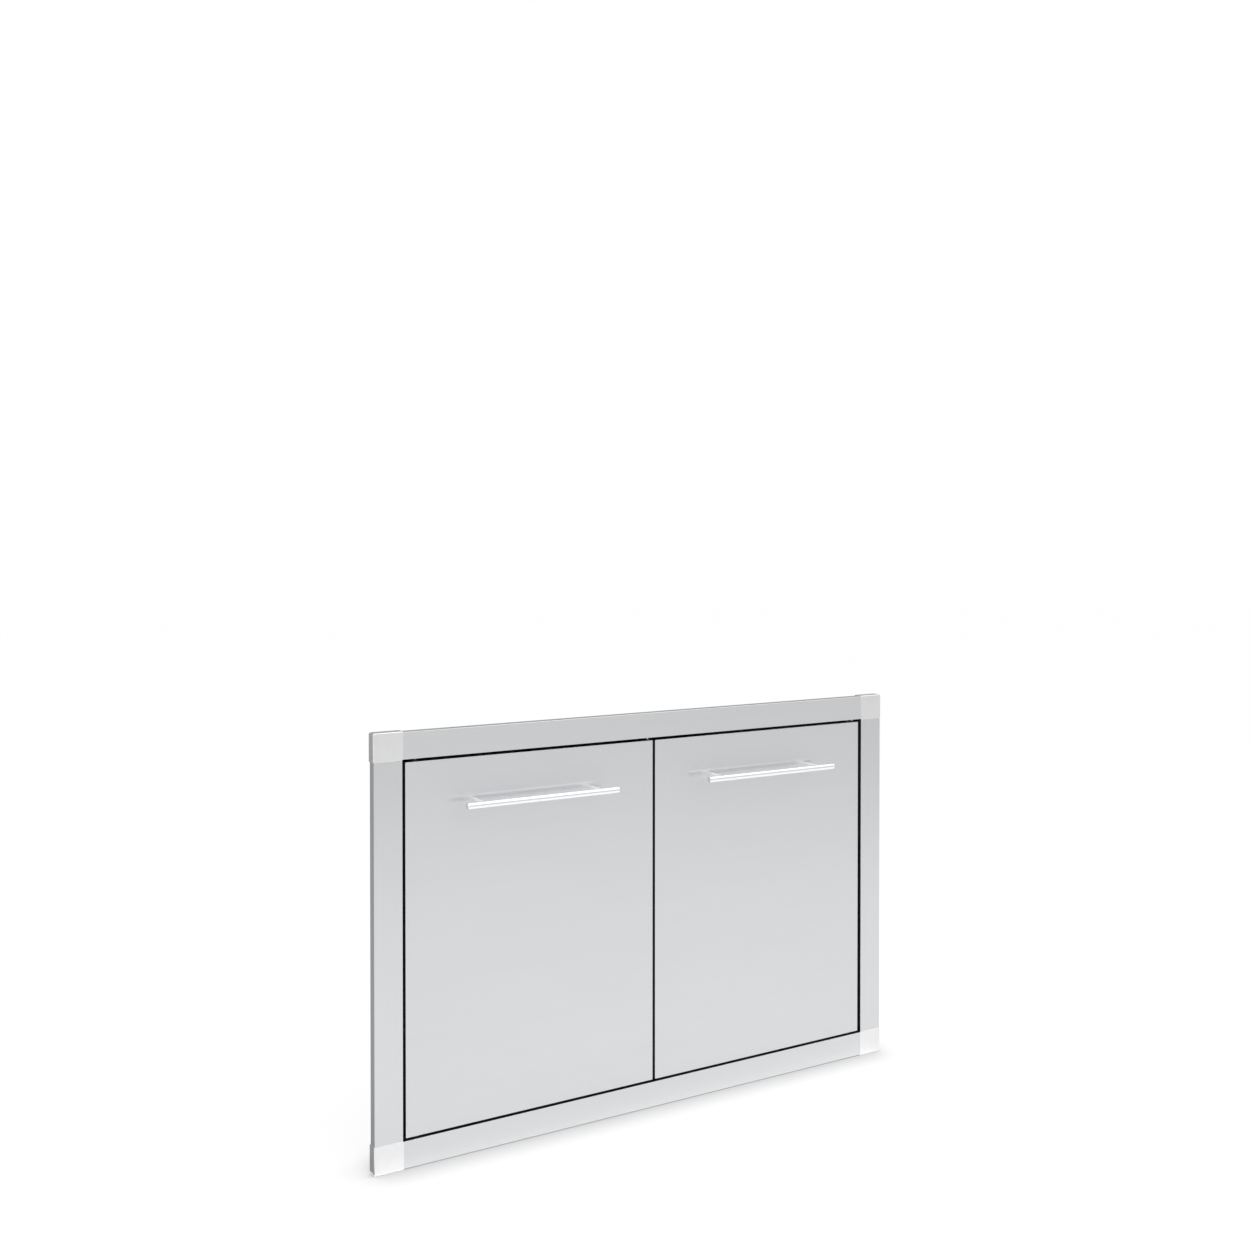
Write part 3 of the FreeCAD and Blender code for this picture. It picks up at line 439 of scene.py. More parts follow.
@dataclass(frozen=True)
class Finish:
    """A real material and how its surface was made.

    The colour drifts between two factors, tones, while the pattern tone goes through tone_span.
    The roughness drifts by two changes, gloss, with the pattern haze, or else with tone. The
    pattern relief is depth millimetres high, and strength is the share of it that shows. The
    numbers in fixed are the same all over the surface.
    """

    name: str
    colour: str
    roughness: float
    grain: Axis = Axis.ACROSS
    tone: Pattern = Pattern(14.0)
    haze: Pattern | None = None
    relief: Pattern = Pattern(0.5)
    tones: Span = (0.985, 1.01)
    tone_span: Span = NOISE_SPAN
    gloss: Span = (-0.04, 0.06)
    depth: float = 0.02
    strength: float = 0.6
    fixed: ClassVar[dict[str, float]] = {"Metallic": 1.0}

    def material(self) -> bpy.types.Material:
        """Makes the finish's Blender material on first use.

        Returns:
            The material.
        """
        made = bpy.data.materials.get(self.name)
        if made is not None:
            return made
        made = bpy.data.materials.new(self.name)
        tree = empty_tree(made)
        plain = {"Base Color": linear(self.colour), "Roughness": self.roughness, **self.fixed}
        shader = add_node(tree, "BsdfPrincipled", plain)
        self.detail(Surface(tree, shader, add_node(tree, "TexCoord").outputs["Object"]))
        add_node(tree, "OutputMaterial", {"Surface": shader.outputs[0]})
        return made

    def detail(self, surface: Surface) -> None:
        """Draws the finish's patterns, each of them once.

        Args:
            surface: The material's nodes.
        """
        chosen = self.tone, self.haze or self.tone, self.relief
        made = {pattern: surface.noise(pattern, self.grain) for pattern in dict.fromkeys(chosen)}
        self.vary(surface, *[made[pattern] for pattern in chosen])

    def vary(self, surface: Surface, tone: Socket, haze: Socket, height: Socket) -> None:
        """Lets the colour, the roughness and the height follow a pattern each.

        Args:
            surface: The material's nodes.
            tone: Pattern of the colour.
            haze: Pattern of the roughness.
            height: Pattern of the relief.
        """
        tree = surface.tree
        share = add_node(tree, "MapRange", {"Value": tone, "From Min": self.tone_span[0],
                                            "From Max": self.tone_span[1]}).outputs[0]
        dark, light = [linear(self.colour, factor) for factor in self.tones]
        tinted = add_node(tree, "Mix", {0: share, 6: dark, 7: light}, data_type="RGBA")
        drifted = add_node(tree, "MapRange", {
            "Value": haze, "From Min": NOISE_SPAN[0], "From Max": NOISE_SPAN[1],
            "To Min": self.roughness + self.gloss[0], "To Max": self.roughness + self.gloss[1]})
        surface.feed("Base Color", tinted.outputs[2])
        surface.feed("Roughness", drifted.outputs[0])
        surface.raise_by(height, self.depth, self.strength)


@dataclass(frozen=True)
class BrushedSteel(Finish):
    """Stainless steel sheet, belt-brushed along one direction, with the belt's faint clouds.

    The belt's lines are 0.1 to 0.3 mm wide, too fine to show, so they are drawn 0.9 mm wide and
    90 mm long. Light spreads across the lines more than along them, so highlights stretch across
    the grain. The smooth lands between the lines mirror about a fifth of the light, which gives
    near things, such as the handle, a crisp image. The coat stands for them.
    """

    tone: Pattern = Pattern(22.0, 182.0)
    relief: Pattern = Pattern(0.9, 90.0, FINE)
    tones: Span = (0.986, 1.014)
    gloss: Span = (-0.02, 0.02)
    depth: float = 0.004
    strength: float = 0.45
    fixed: ClassVar[dict[str, float]] = {"Metallic": 1.0, "Anisotropic": 0.5, "Coat Weight": 1.0,
                                         "Coat Roughness": 0.12, "Coat IOR": 2.5}

    def detail(self, surface: Surface) -> None:
        """Draws the lines, tints by the mean of lines and clouds and turns the highlights.

        Args:
            surface: The material's nodes.
        """
        tree = surface.tree
        lines, clouds = [surface.noise(pattern, self.grain) for pattern in (self.relief, self.tone)]
        both = add_node(tree, "Math", {0: lines, 1: clouds}, operation="ADD").outputs[0]
        mean = add_node(tree, "Math", {0: both, 1: 0.5}, operation="MULTIPLY").outputs[0]
        self.vary(surface, mean, lines, lines)
        across = Axis.UP if self.grain is Axis.ACROSS else Axis.ACROSS
        direction = add_node(tree, "CombineXYZ", {across.value: 1.0}).outputs[0]
        turned = add_node(tree, "VectorTransform", {0: direction}, vector_type="VECTOR",
                          convert_from="OBJECT", convert_to="WORLD")
        surface.feed("Tangent", turned.outputs[0])


@dataclass(frozen=True)
class DeburredEdge(Finish):
    """Cut edge of stainless sheet, rounded and smoothed by a deburring wheel.

    The wheel's fine marks are smooth enough that the edge mirrors the dark gap beside it.
    """

    tone: Pattern = Pattern(2.5, layers=FINEST)
    relief: Pattern = Pattern(2.5, layers=FINEST)
    tones: Span = (0.98, 1.02)
    gloss: Span = (-0.02, 0.03)
    depth: float = 0.004
    strength: float = 0.4


@dataclass(frozen=True)
class BlackOxide(Finish):
    """Steel, turned and then blackened in a hot oxide bath.

    The thin skin of magnetite is a satin black that lets the turning rings show.
    """

    grain: Axis = Axis.UP
    tone: Pattern = Pattern(7.0, layers=FINEST)
    relief: Pattern = Pattern(30.0, 0.5, FINE)
    tones: Span = (0.8, 1.25)
    depth: float = 0.004
    fixed: ClassVar[dict[str, float]] = {"IOR": 2.0}


@dataclass(frozen=True)
class CastMetal(Finish):
    """Zinc die casting, blasted with fine beads and plated in satin nickel.

    The blasted skin scatters light evenly and hides all direction. The beads' dents are about
    0.1 mm wide and are drawn 0.35 mm wide.
    """

    relief: Pattern = Pattern(0.35)
    gloss: Span = (-0.03, 0.03)
    depth: float = 0.01
    strength: float = 0.5


@dataclass(frozen=True)
class TurnedSteel(Finish):
    """Stainless steel bar or wire, turned or drawn, and then polished, plated or left satin.

    It shows fine rings and slow changes of gloss.
    """

    tone: Pattern = Pattern(8.0, 25.0)
    relief: Pattern = Pattern(30.0, 0.4, FINE)
    gloss: Span = (-0.02, 0.03)
    depth: float = 0.002


@dataclass(frozen=True)
class RolledSheet(Finish):
    """Stainless steel sheet with a cold-rolled mill finish, left unbrushed where it doesn't show.

    Its skin is milky and faintly streaked. The rolls leave streaks a few millimetres wide along
    the sheet and a fine orange peel.
    """

    tone: Pattern = Pattern(3.0, 243.0, FINE)
    haze: Pattern | None = Pattern(45.0)
    relief: Pattern = Pattern(0.8)
    tones: Span = (0.965, 1.02)
    gloss: Span = (-0.05, 0.05)
    depth: float = 0.006
    strength: float = 0.5


@dataclass(frozen=True)
class ZincPlate(Finish):
    """Mild steel, zinc plated and passivated, in dull, faintly bluish cells."""

    tones: Span = (0.9, 1.04)
    tone_span: Span = (0.0, 1.0)
    depth: float = 0.008
    strength: float = 0.5
    cell: float = 2.5

    def detail(self, surface: Surface) -> None:
        """Draws the plating's cells, as wide as the field cell says, and its fine grit.

        Args:
            surface: The material's nodes.
        """
        cells = add_node(surface.tree, "TexVoronoi", {"Vector": surface.place,
                                                      "Scale": 1 / (self.cell * MM)})
        grey = add_node(surface.tree, "RGBToBW", {0: cells.outputs["Color"]}).outputs[0]
        self.vary(surface, grey, grey, surface.noise(self.relief, self.grain))


@dataclass(frozen=True)
class PowderCoat(Finish):
    """Steel plate, phosphated and coated with black powder paint.

    The coat has an orange peel, about 1 mm from crest to crest, and dulls in patches.
    """

    tone: Pattern = Pattern(9.0, layers=FINEST)
    relief: Pattern = Pattern(1.0)
    tones: Span = (0.9, 1.15)
    fixed: ClassVar[dict[str, float]] = {"IOR": 1.5}


@dataclass(frozen=True)
class MouldedPlastic(Finish):
    """Injection-moulded plastic with the mould's fine spark-eroded texture and a faint flow."""

    tone: Pattern = Pattern(12.0)
    relief: Pattern = Pattern(0.4, layers=FINE)
    tones: Span = (0.94, 1.05)
    gloss: Span = (-0.04, 0.04)
    strength: float = 0.5
    fixed: ClassVar[dict[str, float]] = {"IOR": 1.49}


@dataclass(frozen=True)
class Rubber(Finish):
    """Black rubber, extruded through a die or moulded, with faint lines and a grey bloom."""

    grain: Axis = Axis.UP
    tone: Pattern = Pattern(18.0, layers=FINEST)
    relief: Pattern = Pattern(0.7, 80.7, FINE)
    tones: Span = (0.8, 1.3)
    gloss: Span = (-0.05, 0.05)
    fixed: ClassVar[dict[str, float]] = {"IOR": 1.52, "Specular IOR Level": 0.3}


@dataclass(frozen=True)
class CatchMagnet(Finish):
    """Gritty grey ferrite block between two nickel-plated pole plates."""

    ferrite: str = "3A3A3D"
    relief: Pattern = Pattern(0.6, layers=FINEST)
    tones: Span = (0.7, 1.3)
    strength: float = 0.4
    foot: float = 255.3
    head: float = 265.3
    pole: float = 1.8
    fixed: ClassVar[dict[str, float]] = {}

    def detail(self, surface: Surface) -> None:
        """Draws the pole plates along the block's lower and upper edges by its height.

        Args:
            surface: The material's nodes.
        """
        tree = surface.tree
        height = add_node(tree, "SeparateXYZ", {0: surface.place}).outputs[2]
        middle = (self.foot + self.head) / 2 * MM
        reach = ((self.head - self.foot) / 2 - self.pole) * MM
        offset = add_node(tree, "Math", {0: height, 1: middle}, operation="SUBTRACT").outputs[0]
        away = add_node(tree, "Math", {0: offset}, operation="ABSOLUTE").outputs[0]
        plate = add_node(tree, "Math", {0: away, 1: reach}, operation="GREATER_THAN").outputs[0]
        grit = surface.noise(self.relief, self.grain)
        dark, light = [linear(self.ferrite, factor) for factor in self.tones]
        block = add_node(tree, "Mix", {0: grit, 6: dark, 7: light}, data_type="RGBA").outputs[2]
        both = add_node(tree, "Mix", {0: plate, 6: block, 7: linear(self.colour)}, data_type="RGBA")
        surface.feed("Base Color", both.outputs[2])
        surface.feed("Metallic", plate)
        surface.raise_by(grit, self.depth, self.strength)


DOOR_STEEL = BrushedSteel("Brushed_stainless_level_grain", "C4C6C8", 0.42)
LEVEL_RAIL_STEEL = BrushedSteel("Brushed_stainless_level_rail", "C4C6C8", 0.42)
SIDE_RAIL_STEEL = BrushedSteel("Brushed_stainless_side_rail", "C4C6C8", 0.42, grain=Axis.UP)
EDGE_STEEL = DeburredEdge("Deburred_stainless_edge", "D0D2D4", 0.14)
CORNER_METAL = CastMetal("Satin_nickel_die_casting", "E3E3E3", 0.34)
BAR_STEEL = TurnedSteel("Polished_stainless_bar", "ECEDEF", 0.14)
POST_STEEL = TurnedSteel("Satin_stainless_post", "FAFAFA", 0.6)
SPRING_STEEL = TurnedSteel("Drawn_spring_wire", "C9CACB", 0.24,
                           relief=Pattern(30.0, 0.6, FINE))
SCREW_STEEL = TurnedSteel("Cold_headed_stainless", "BFC0C1", 0.3,
                          relief=Pattern(30.0, 0.5, FINE), depth=0.004)
SHEET_LEVEL = RolledSheet("Mill_finish_stainless_level", "CFD1D3", 0.34)
SHEET_UPRIGHT = RolledSheet("Mill_finish_stainless_upright", "CFD1D3", 0.34, grain=Axis.UP)
ZINC_STEEL = ZincPlate("Zinc_plated_steel", "B9BDC2", 0.42)
BLACK_STEEL = PowderCoat("Black_powder_coated_steel", "18191A", 0.42)
BLACK_PLASTIC = MouldedPlastic("Black_acetal_moulding", "141415", 0.46)
BLACK_NYLON = MouldedPlastic("Black_nylon_turning", "171718", 0.44)
BLACKENED_ROD = BlackOxide("Blackened_steel_rod", "1C1D20", 0.36)
SEAL_RUBBER = Rubber("Extruded_black_rubber", "0B0B0B", 0.7)
PAD_RUBBER = Rubber("Moulded_black_rubber", "121212", 0.62, grain=Axis.DEPTH)
MAGNET = CatchMagnet("Ferrite_between_pole_plates", "C4C5C6", 0.38)


# Frame


@dataclass
class FoldedRail:
    """A rail folded from brushed sheet: front wall, outer wall and a lip at the back."""

    node: str
    runs: Axis
    outward: int
    finish: Finish
    sheet: float = 1.5
    lip: float = 16.0
    bend: float = 1.0
    cut_edge: float = 0.4
    burr: float = 0.2
    corners: int = 8
    stations: int = 9

    def section(self, face: float, front: float) -> Array:
        """Draws the folded section.

        Args:
            face: Width of the visible face.
            front: Y of the visible face.

        Returns:
            Points of (distance from the opening, Y).
        """
        inner = max(self.bend - self.sheet / 2, self.burr)
        lip, wall = face - self.lip, face - self.sheet
        corners = [(0, front), (face, front), (face, 0), (lip, 0), (lip, -self.sheet),
                   (wall, -self.sheet), (wall, front + self.sheet), (0, front + self.sheet)]
        radii = [self.cut_edge, self.bend, self.bend, self.burr, self.burr, inner, inner,
                 self.cut_edge]
        return rounded_outline(np.array(corners), np.array(radii))

    def cut_quads(self, count: int) -> Array:
        """Marks the cut edge by the opening, from the last corner's arc to the first one's.

        Args:
            count: Number of the outline's points.

        Returns:
            One mark for each point, for the quad between it and the next.
        """
        marks = np.zeros((self.corners, count // self.corners), bool)
        marks[0, :-2] = True
        marks[-1, 1:] = True
        return marks.ravel()

    def build(self) -> bpy.types.Object:
        """Carries the section along the rail.

        Returns:
            The piece.
        """
        low, high = node_box(self.node)
        across = Axis.UP if self.runs is Axis.ACROSS else Axis.ACROSS
        opening = (low if self.outward > 0 else high)[across.value]
        face = (high - low)[across.value]
        outline = self.section(face, low[Axis.DEPTH.value])
        outline[:, 0] = opening + self.outward * outline[:, 0]
        ends = low[self.runs.value], high[self.runs.value]
        rings = carry(outline, self.runs, np.linspace(*ends, self.stations))
        shell = Shell(rings, self.cut_quads(len(outline)))
        return make_piece(self.node, "brushed", [shell], [self.finish, EDGE_STEEL], "frame")


@dataclass
class CornerCasting:
    """A cast corner: a soft-edged plate on a rebated block, with a spigot in each rail."""

    side: Side
    level: Level
    edge: float = 1.8
    seam_edge: float = 0.35
    bend: float = 3.0
    seam_corner: float = 0.3
    tight_corner: float = 0.1
    lip: float = 17.2
    rebate: float = 3.0
    rebate_front: float = -13.5
    spigot_front: float = -11.75
    spigot_back: float = -1.5
    spigot_inset: float = 12.0
    spigot_wall: float = 2.95
    spigot_length: float = 38.0
    spigot_corner: float = 0.5
    seam: Array = field(init=False)
    opening: Array = field(init=False)
    outer: Array = field(init=False)
    front: float = field(init=False)

    def __post_init__(self) -> None:
        """Reads where the rails end, the opening's corner, the casting's own and its face's Y."""
        low, high = node_box(self.node)
        level_rail = np.abs(node_box(f"{self.level.word}_rail"))[:, FACE]
        side_rail = np.abs(node_box(f"{self.side.word}_rail"))[:, FACE]
        self.seam = np.array([level_rail[1, 0], side_rail[1, 1]])
        self.opening = np.array([side_rail[:, 0].min(), level_rail[:, 1].min()])
        self.outer = np.maximum(np.abs(low), np.abs(high))[FACE]
        self.front = low[Axis.DEPTH.value]

    @property
    def node(self) -> str:
        """Returns the CAD node's name."""
        return f"corner_{self.level.word}_{self.side.word}"

    def mirrored(self, points: Array) -> Array:
        """Returns points in X and Z that are given for the upper right, moved to this corner."""
        return points * np.array([self.side.value, self.level.value])

    def rounding(self, radius: float, depths: Array) -> Array:
        """Returns an edge's inset at each depth t below the face: r - sqrt(r^2 - (r - t)^2)."""
        rise = np.clip(radius - depths, 0, radius)
        return radius - np.sqrt(radius ** 2 - rise ** 2)

    def front_plate(self) -> Array:
        """Rounds the plate's front, wide along its outer sides and tight where it meets the rails.

        The outline goes round the notch that leaves the opening's corner free. Each of its sides
        moves inwards by the inset of its own edge.

        Returns:
            Rings from the face to the back of the front wall.
        """
        seam, opening, outer = self.seam, self.opening, self.outer
        edges = self.edge, self.seam_edge
        fall = 1 - np.cos(quarter_turn(ARC_STEPS))
        depths = np.unique(np.outer(edges, fall))
        wide, tight = [np.concatenate([[edge + GUARD], self.rounding(edge, depths), [0.0, 0.0]])
                       for edge in edges]
        corners = np.array([(opening[0], seam[1]), (outer[0], seam[1]), outer, (seam[0], outer[1]),
                            (seam[0], opening[1]), opening])
        from_seams = np.array([(1, 1), (0, 1), (0, 0), (1, 0), (1, 1), (1, 1)])
        from_outside = np.array([(0, 0), (1, 0), (1, 1), (0, 1), (0, 0), (0, 0)])
        moved = corners + tight[:, None, None] * from_seams - wide[:, None, None] * from_outside
        radii = np.full(moved.shape[:2], self.seam_corner)
        radii[:, 2] = self.bend - wide
        below = [self.edge + GUARD, self.rebate_front - self.front]
        levels = self.front + np.concatenate([[0.0], depths, below])
        return stand_up(self.mirrored(rounded_outline(moved, radii)), levels)

    def back_block(self) -> Array:
        """Carries the block's rebated outline from the front wall to the island.

        Returns:
            Rings of the block.
        """
        seam, opening, outer = self.seam, self.opening, self.outer
        step = opening + self.rebate
        lip = outer - self.lip
        corners = np.array([(step[0], opening[1]), (lip[0], opening[1]), (lip[0], seam[1]),
                            (outer[0], seam[1]), outer, (seam[0], outer[1]), (seam[0], lip[1]),
                            (opening[0], lip[1]), (opening[0], step[1]), step])
        radii = np.full(len(corners), self.tight_corner)
        radii[[3, 5]] = self.seam_corner
        radii[4] = self.bend
        outline = self.mirrored(rounded_outline(corners, radii))
        return stand_up(outline, [self.rebate_front, 0.0])

    def spigots(self) -> list[Array]:
        """Carries each spigot's rounded rectangle from its front to its back.

        Returns:
            The rings of both spigots.
        """
        shells = []
        for run in (0, 1):
            near = self.opening - self.spigot_length * np.eye(2)[run]
            far = self.outer - self.spigot_wall
            near[1 - run] = self.opening[1 - run] + self.spigot_inset
            far[run] = self.opening[run]
            outline = self.mirrored(inset_rectangle(near, far, self.spigot_corner, [0.0]))
            shells.append(stand_up(outline, [self.spigot_front, self.spigot_back]))
        return shells

    def build(self) -> bpy.types.Object:
        """Builds the casting's shells.

        Returns:
            The piece.
        """
        shells = [Shell(block) for block in (self.front_plate(), self.back_block(),
                                             *self.spigots())]
        return make_piece(self.node, "cast", shells, [CORNER_METAL], "frame")


@dataclass
class Frame:
    """The face frame with the sleeve, hinge plates, catches and stop that are fixed to it."""

    screws: tuple[str, ...] = ("corner_screws", "hinge_plate_screws", "catch_screws",
                               "stop_bracket_screws")

    def build(self) -> None:
        """Builds the visible face and dresses what stays as packed."""
        side_nodes = {"sleeve_{}": SHEET_UPRIGHT, "{}_upper_hinge_plate": BLACK_STEEL,
                      "{}_lower_hinge_plate": BLACK_STEEL, "{}_hinge_pin": BLACKENED_ROD,
                      "{}_catch_case": BLACK_PLASTIC, "{}_catch_magnet": MAGNET}
        for level in Level:
            FoldedRail(f"{level.word}_rail", Axis.ACROSS, level.value, LEVEL_RAIL_STEEL).build()
            dress(f"sleeve_{level.word}", SHEET_LEVEL)
            for side in Side:
                CornerCasting(side, level).build()
        for side in Side:
            FoldedRail(f"{side.word}_rail", Axis.UP, side.value, SIDE_RAIL_STEEL).build()
            for node, finish in side_nodes.items():
                dress(node.format(side.word), finish)
        dress("reveal_seal", SEAL_RUBBER)
        dress("stop_bracket", SHEET_LEVEL)
        dress("stop_bumpers", PAD_RUBBER)
        for node in self.screws:
            dress(node, SCREW_STEEL)


# Doors


@dataclass
class DoorSkin:
    """A door's visible sheet, soft at its edges, with a border welded behind them."""

    side: Side
    sheet: float = 1.2
    edge: float = 0.6
    step: float = 1.2
    border: float = 12.0
    corner: float = 1.2
    arc_steps: int = 8

    def profile(self, front: float) -> tuple[Array, Array]:
        """Draws the edge from the face round the sheet's rim and the border to the sheet's back.

        At angle a the outline is inset by e * (1 - sin a) at the depth e * (1 - cos a), which
        turns the face into the rim.

        Args:
            front: Y of the face.

        Returns:
            Inset and Y of each ring.
        """
        angle = quarter_turn(self.arc_steps)
        back = front + self.sheet
        rear = back + self.sheet
        insets = np.concatenate([[self.edge + GUARD], self.edge * (1 - np.sin(angle)),
                                 [0.0, self.step, self.step, self.border, self.border,
                                  self.border + GUARD]])
        depths = np.concatenate([[front], front + self.edge * (1 - np.cos(angle)),
                                 [back, back, rear, rear, back, back]])
        return insets, depths

    def build(self) -> bpy.types.Object:
        """Builds the skin.

        Returns:
            The piece.
        """
        node = f"{self.side.word}_door_skin"
        low, high = node_box(node)
        insets, depths = self.profile(low[Axis.DEPTH.value])
        outlines = inset_rectangle(low[FACE], high[FACE], self.corner, insets)
        rim = np.zeros((len(insets) - 1, 1), bool)
        rim[1:self.arc_steps + 3] = True
        shell = Shell(stand_up(outlines, depths), rim)
        return make_piece(node, "brushed", [shell], [DOOR_STEEL, EDGE_STEEL],
                          f"{self.side.word}_door")


@dataclass
class Handle:
    """A polished bar with flat, chamfered ends on two round posts."""

    side: Side
    chamfer: float = 0.5
    soft: float = 0.1
    post_radius: float = 4.0
    post_pitch: float = 192.0
    foot_radius: float = 0.3
    sides: int = 48
    soft_steps: int = 4
    saddle_rings: int = 6

    def bar(self, low: Array, high: Array) -> Array:
        """Turns the bar's profile, from one end's middle to the other's, about its axis.

        A point at angle a is (x, radius * cos a, radius * sin a) from the bar's middle.

        Args:
            low: Lowest corner of the bar's box.
            high: Its highest corner.

        Returns:
            The bar's rings.
        """
        half, _, radius = (high - low) / 2
        corners = np.array([(half, 0.0), (half, radius - self.chamfer),
                            (half - self.chamfer, radius), (0.0, radius), (0.0, 0.0)])
        rounded = rounded_outline(corners, np.full(len(corners), self.soft), self.soft_steps)
        end = rounded.reshape(len(corners), -1, 2)[1:-2].reshape(-1, 2)
        end = np.vstack([corners[:1], end])
        x, r = np.vstack([end, end[::-1] * (-1, 1)]).T[:, :, None]
        angle = full_turn(self.sides)
        return points_at(x, r * np.cos(angle), r * np.sin(angle)) + (low + high) / 2

    def post(self, middle: Array, foot: float, radius: float) -> Array:
        """Shapes a post whose front is hollowed to seat the bar.

        A point at angle a and radius p has the height p * sin a, and the saddle lies at the bar's
        middle depth plus the root of (bar radius squared less height squared).

        Args:
            middle: Middle of the bar where the post meets it.
            foot: Y of the door's face.
            radius: The bar's radius.

        Returns:
            Rings from the foot to the middle of the saddle.
        """
        angle = full_turn(self.sides)
        turn = quarter_turn(self.soft_steps)
        foot_rings = self.post_radius - self.foot_radius * (1 - np.sin(turn))
        inward = np.linspace(self.post_radius, 0, self.saddle_rings)
        radii = np.concatenate([[0.0], foot_rings, [self.post_radius], inward])[:, None]
        x = middle[0] + radii * np.cos(angle)
        height = radii * np.sin(angle)
        saddle = middle[1] + np.sqrt(radius ** 2 - height ** 2)
        foot_depth = foot - np.concatenate([[0.0], self.foot_radius * (1 - np.cos(turn)),
                                            [self.foot_radius + GUARD]])
        y = saddle.copy()
        y[:len(foot_depth)] = foot_depth[:, None]
        return points_at(x, y, middle[2] + height)

    def build(self) -> None:
        """Builds the bar and its posts."""
        body = f"{self.side.word}_door"
        node = f"{self.side.word}_handle_bar"
        low, high = node_box(node)
        make_piece(node, "polished", [Shell(self.bar(low, high))], [BAR_STEEL], body)
        node = f"{self.side.word}_handle_posts"
        foot = node_box(node)[1][Axis.DEPTH.value]
        middle = (low + high) / 2
        radius = (high - low)[Axis.UP.value] / 2
        reach = np.array([self.post_pitch / 2, 0, 0])
        posts = [Shell(self.post(middle + end * reach, foot, radius)) for end in (-1, 1)]
        make_piece(node, "polished", posts, [POST_STEEL], body)


@dataclass
class BoltSpring:
    """The coil under a hinge bolt's clip, which closes up as the bolt is drawn down."""

    side: Side
    wire: float = 0.5
    coil: float = 4.6
    pitch: float = 3.0
    travel: float = 9.0
    turn_steps: int = 40
    wire_sides: int = 12

    def rings(self, low: Array, high: Array) -> Array:
        """Carries the wire's round section along the coil.

        At angle a the wire's middle is coil * (cos a, sin a) from the axis and pitch * a / (2 pi)
        above the first turn. A point of its section at angle b lies wire * (outward * cos b +
        across * sin b) from there, where outward points away from the axis and across is square to
        it and to the wire.

        Args:
            low: Lowest corner of the spring's box.
            high: Its highest corner.

        Returns:
            One ring for each step along the wire.
        """
        turns = ((high - low)[Axis.UP.value] - 2 * self.wire) / self.pitch
        angle = np.linspace(0, 2 * np.pi * turns, round(turns * self.turn_steps) + 1)
        rise = self.pitch / (2 * np.pi)
        outward = points_at(np.cos(angle), np.sin(angle), 0)
        along = points_at(-self.coil * outward[:, 1], self.coil * outward[:, 0], rise)
        across = np.cross(along / np.linalg.norm(along, axis=-1, keepdims=True), outward)
        start = (low + high) / 2
        start[Axis.UP.value] = low[Axis.UP.value] + self.wire
        middle = start + self.coil * outward + np.outer(rise * angle, (0, 0, 1))
        turn = full_turn(self.wire_sides)[:, None]
        section = outward[:, None] * np.cos(turn) + across[:, None] * np.sin(turn)
        return middle[:, None] + self.wire * section

    def build(self) -> None:
        """Builds the spring, which stands on its guide."""
        node = f"{self.side.word}_bolt_spring"
        low, high = node_box(node)
        piece = make_piece(node, "wound", [Shell(self.rings(low, high))], [SPRING_STEEL],
                           f"{self.side.word}_door")
        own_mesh(piece)


@dataclass
class Door:
    """One door with its handle, edge seal, bushes, strike and spring bolt."""

    side: Side
    packed: dict[str, Finish] = field(default_factory=lambda: {
        "door_liner": SHEET_LEVEL, "door_edge_seal": SEAL_RUBBER, "upper_bush": BLACK_NYLON,
        "lower_bush": BLACK_NYLON, "strike_plate": ZINC_STEEL, "handle_strip": ZINC_STEEL,
        "handle_spacers": ZINC_STEEL, "handle_screws": SCREW_STEEL, "bolt_guide": ZINC_STEEL,
        "hinge_bolt": BLACKENED_ROD})

    def build(self) -> None:
        """Builds the skin, the handle and the spring and dresses what stays as packed."""
        DoorSkin(self.side).build()
        Handle(self.side).build()
        BoltSpring(self.side).build()
        for name, finish in self.packed.items():
            dress(f"{self.side.word}_{name}", finish)


# Studio


@dataclass(frozen=True)
class Softbox:
    """A large soft lamp that faces the object; its level is its radiance, where 1 is white."""

    name: str
    place: tuple[float, float, float]
    width: float
    height: float
    level: float

    def build(self) -> None:
        """Adds the lamp, whose power is level * area * pi."""
        lamp = bpy.data.lights.new(self.name, "AREA")
        lamp.shape = "RECTANGLE"
        lamp.size, lamp.size_y = self.width, self.height
        lamp.energy = self.level * self.width * self.height * math.pi
        holder = bpy.data.objects.new(self.name, lamp)
        holder.location = self.place
        holder.rotation_euler = (-Vector(self.place)).to_track_quat("-Z", "Y").to_euler()
        holder.visible_camera = False
        bpy.context.scene.collection.objects.link(holder)


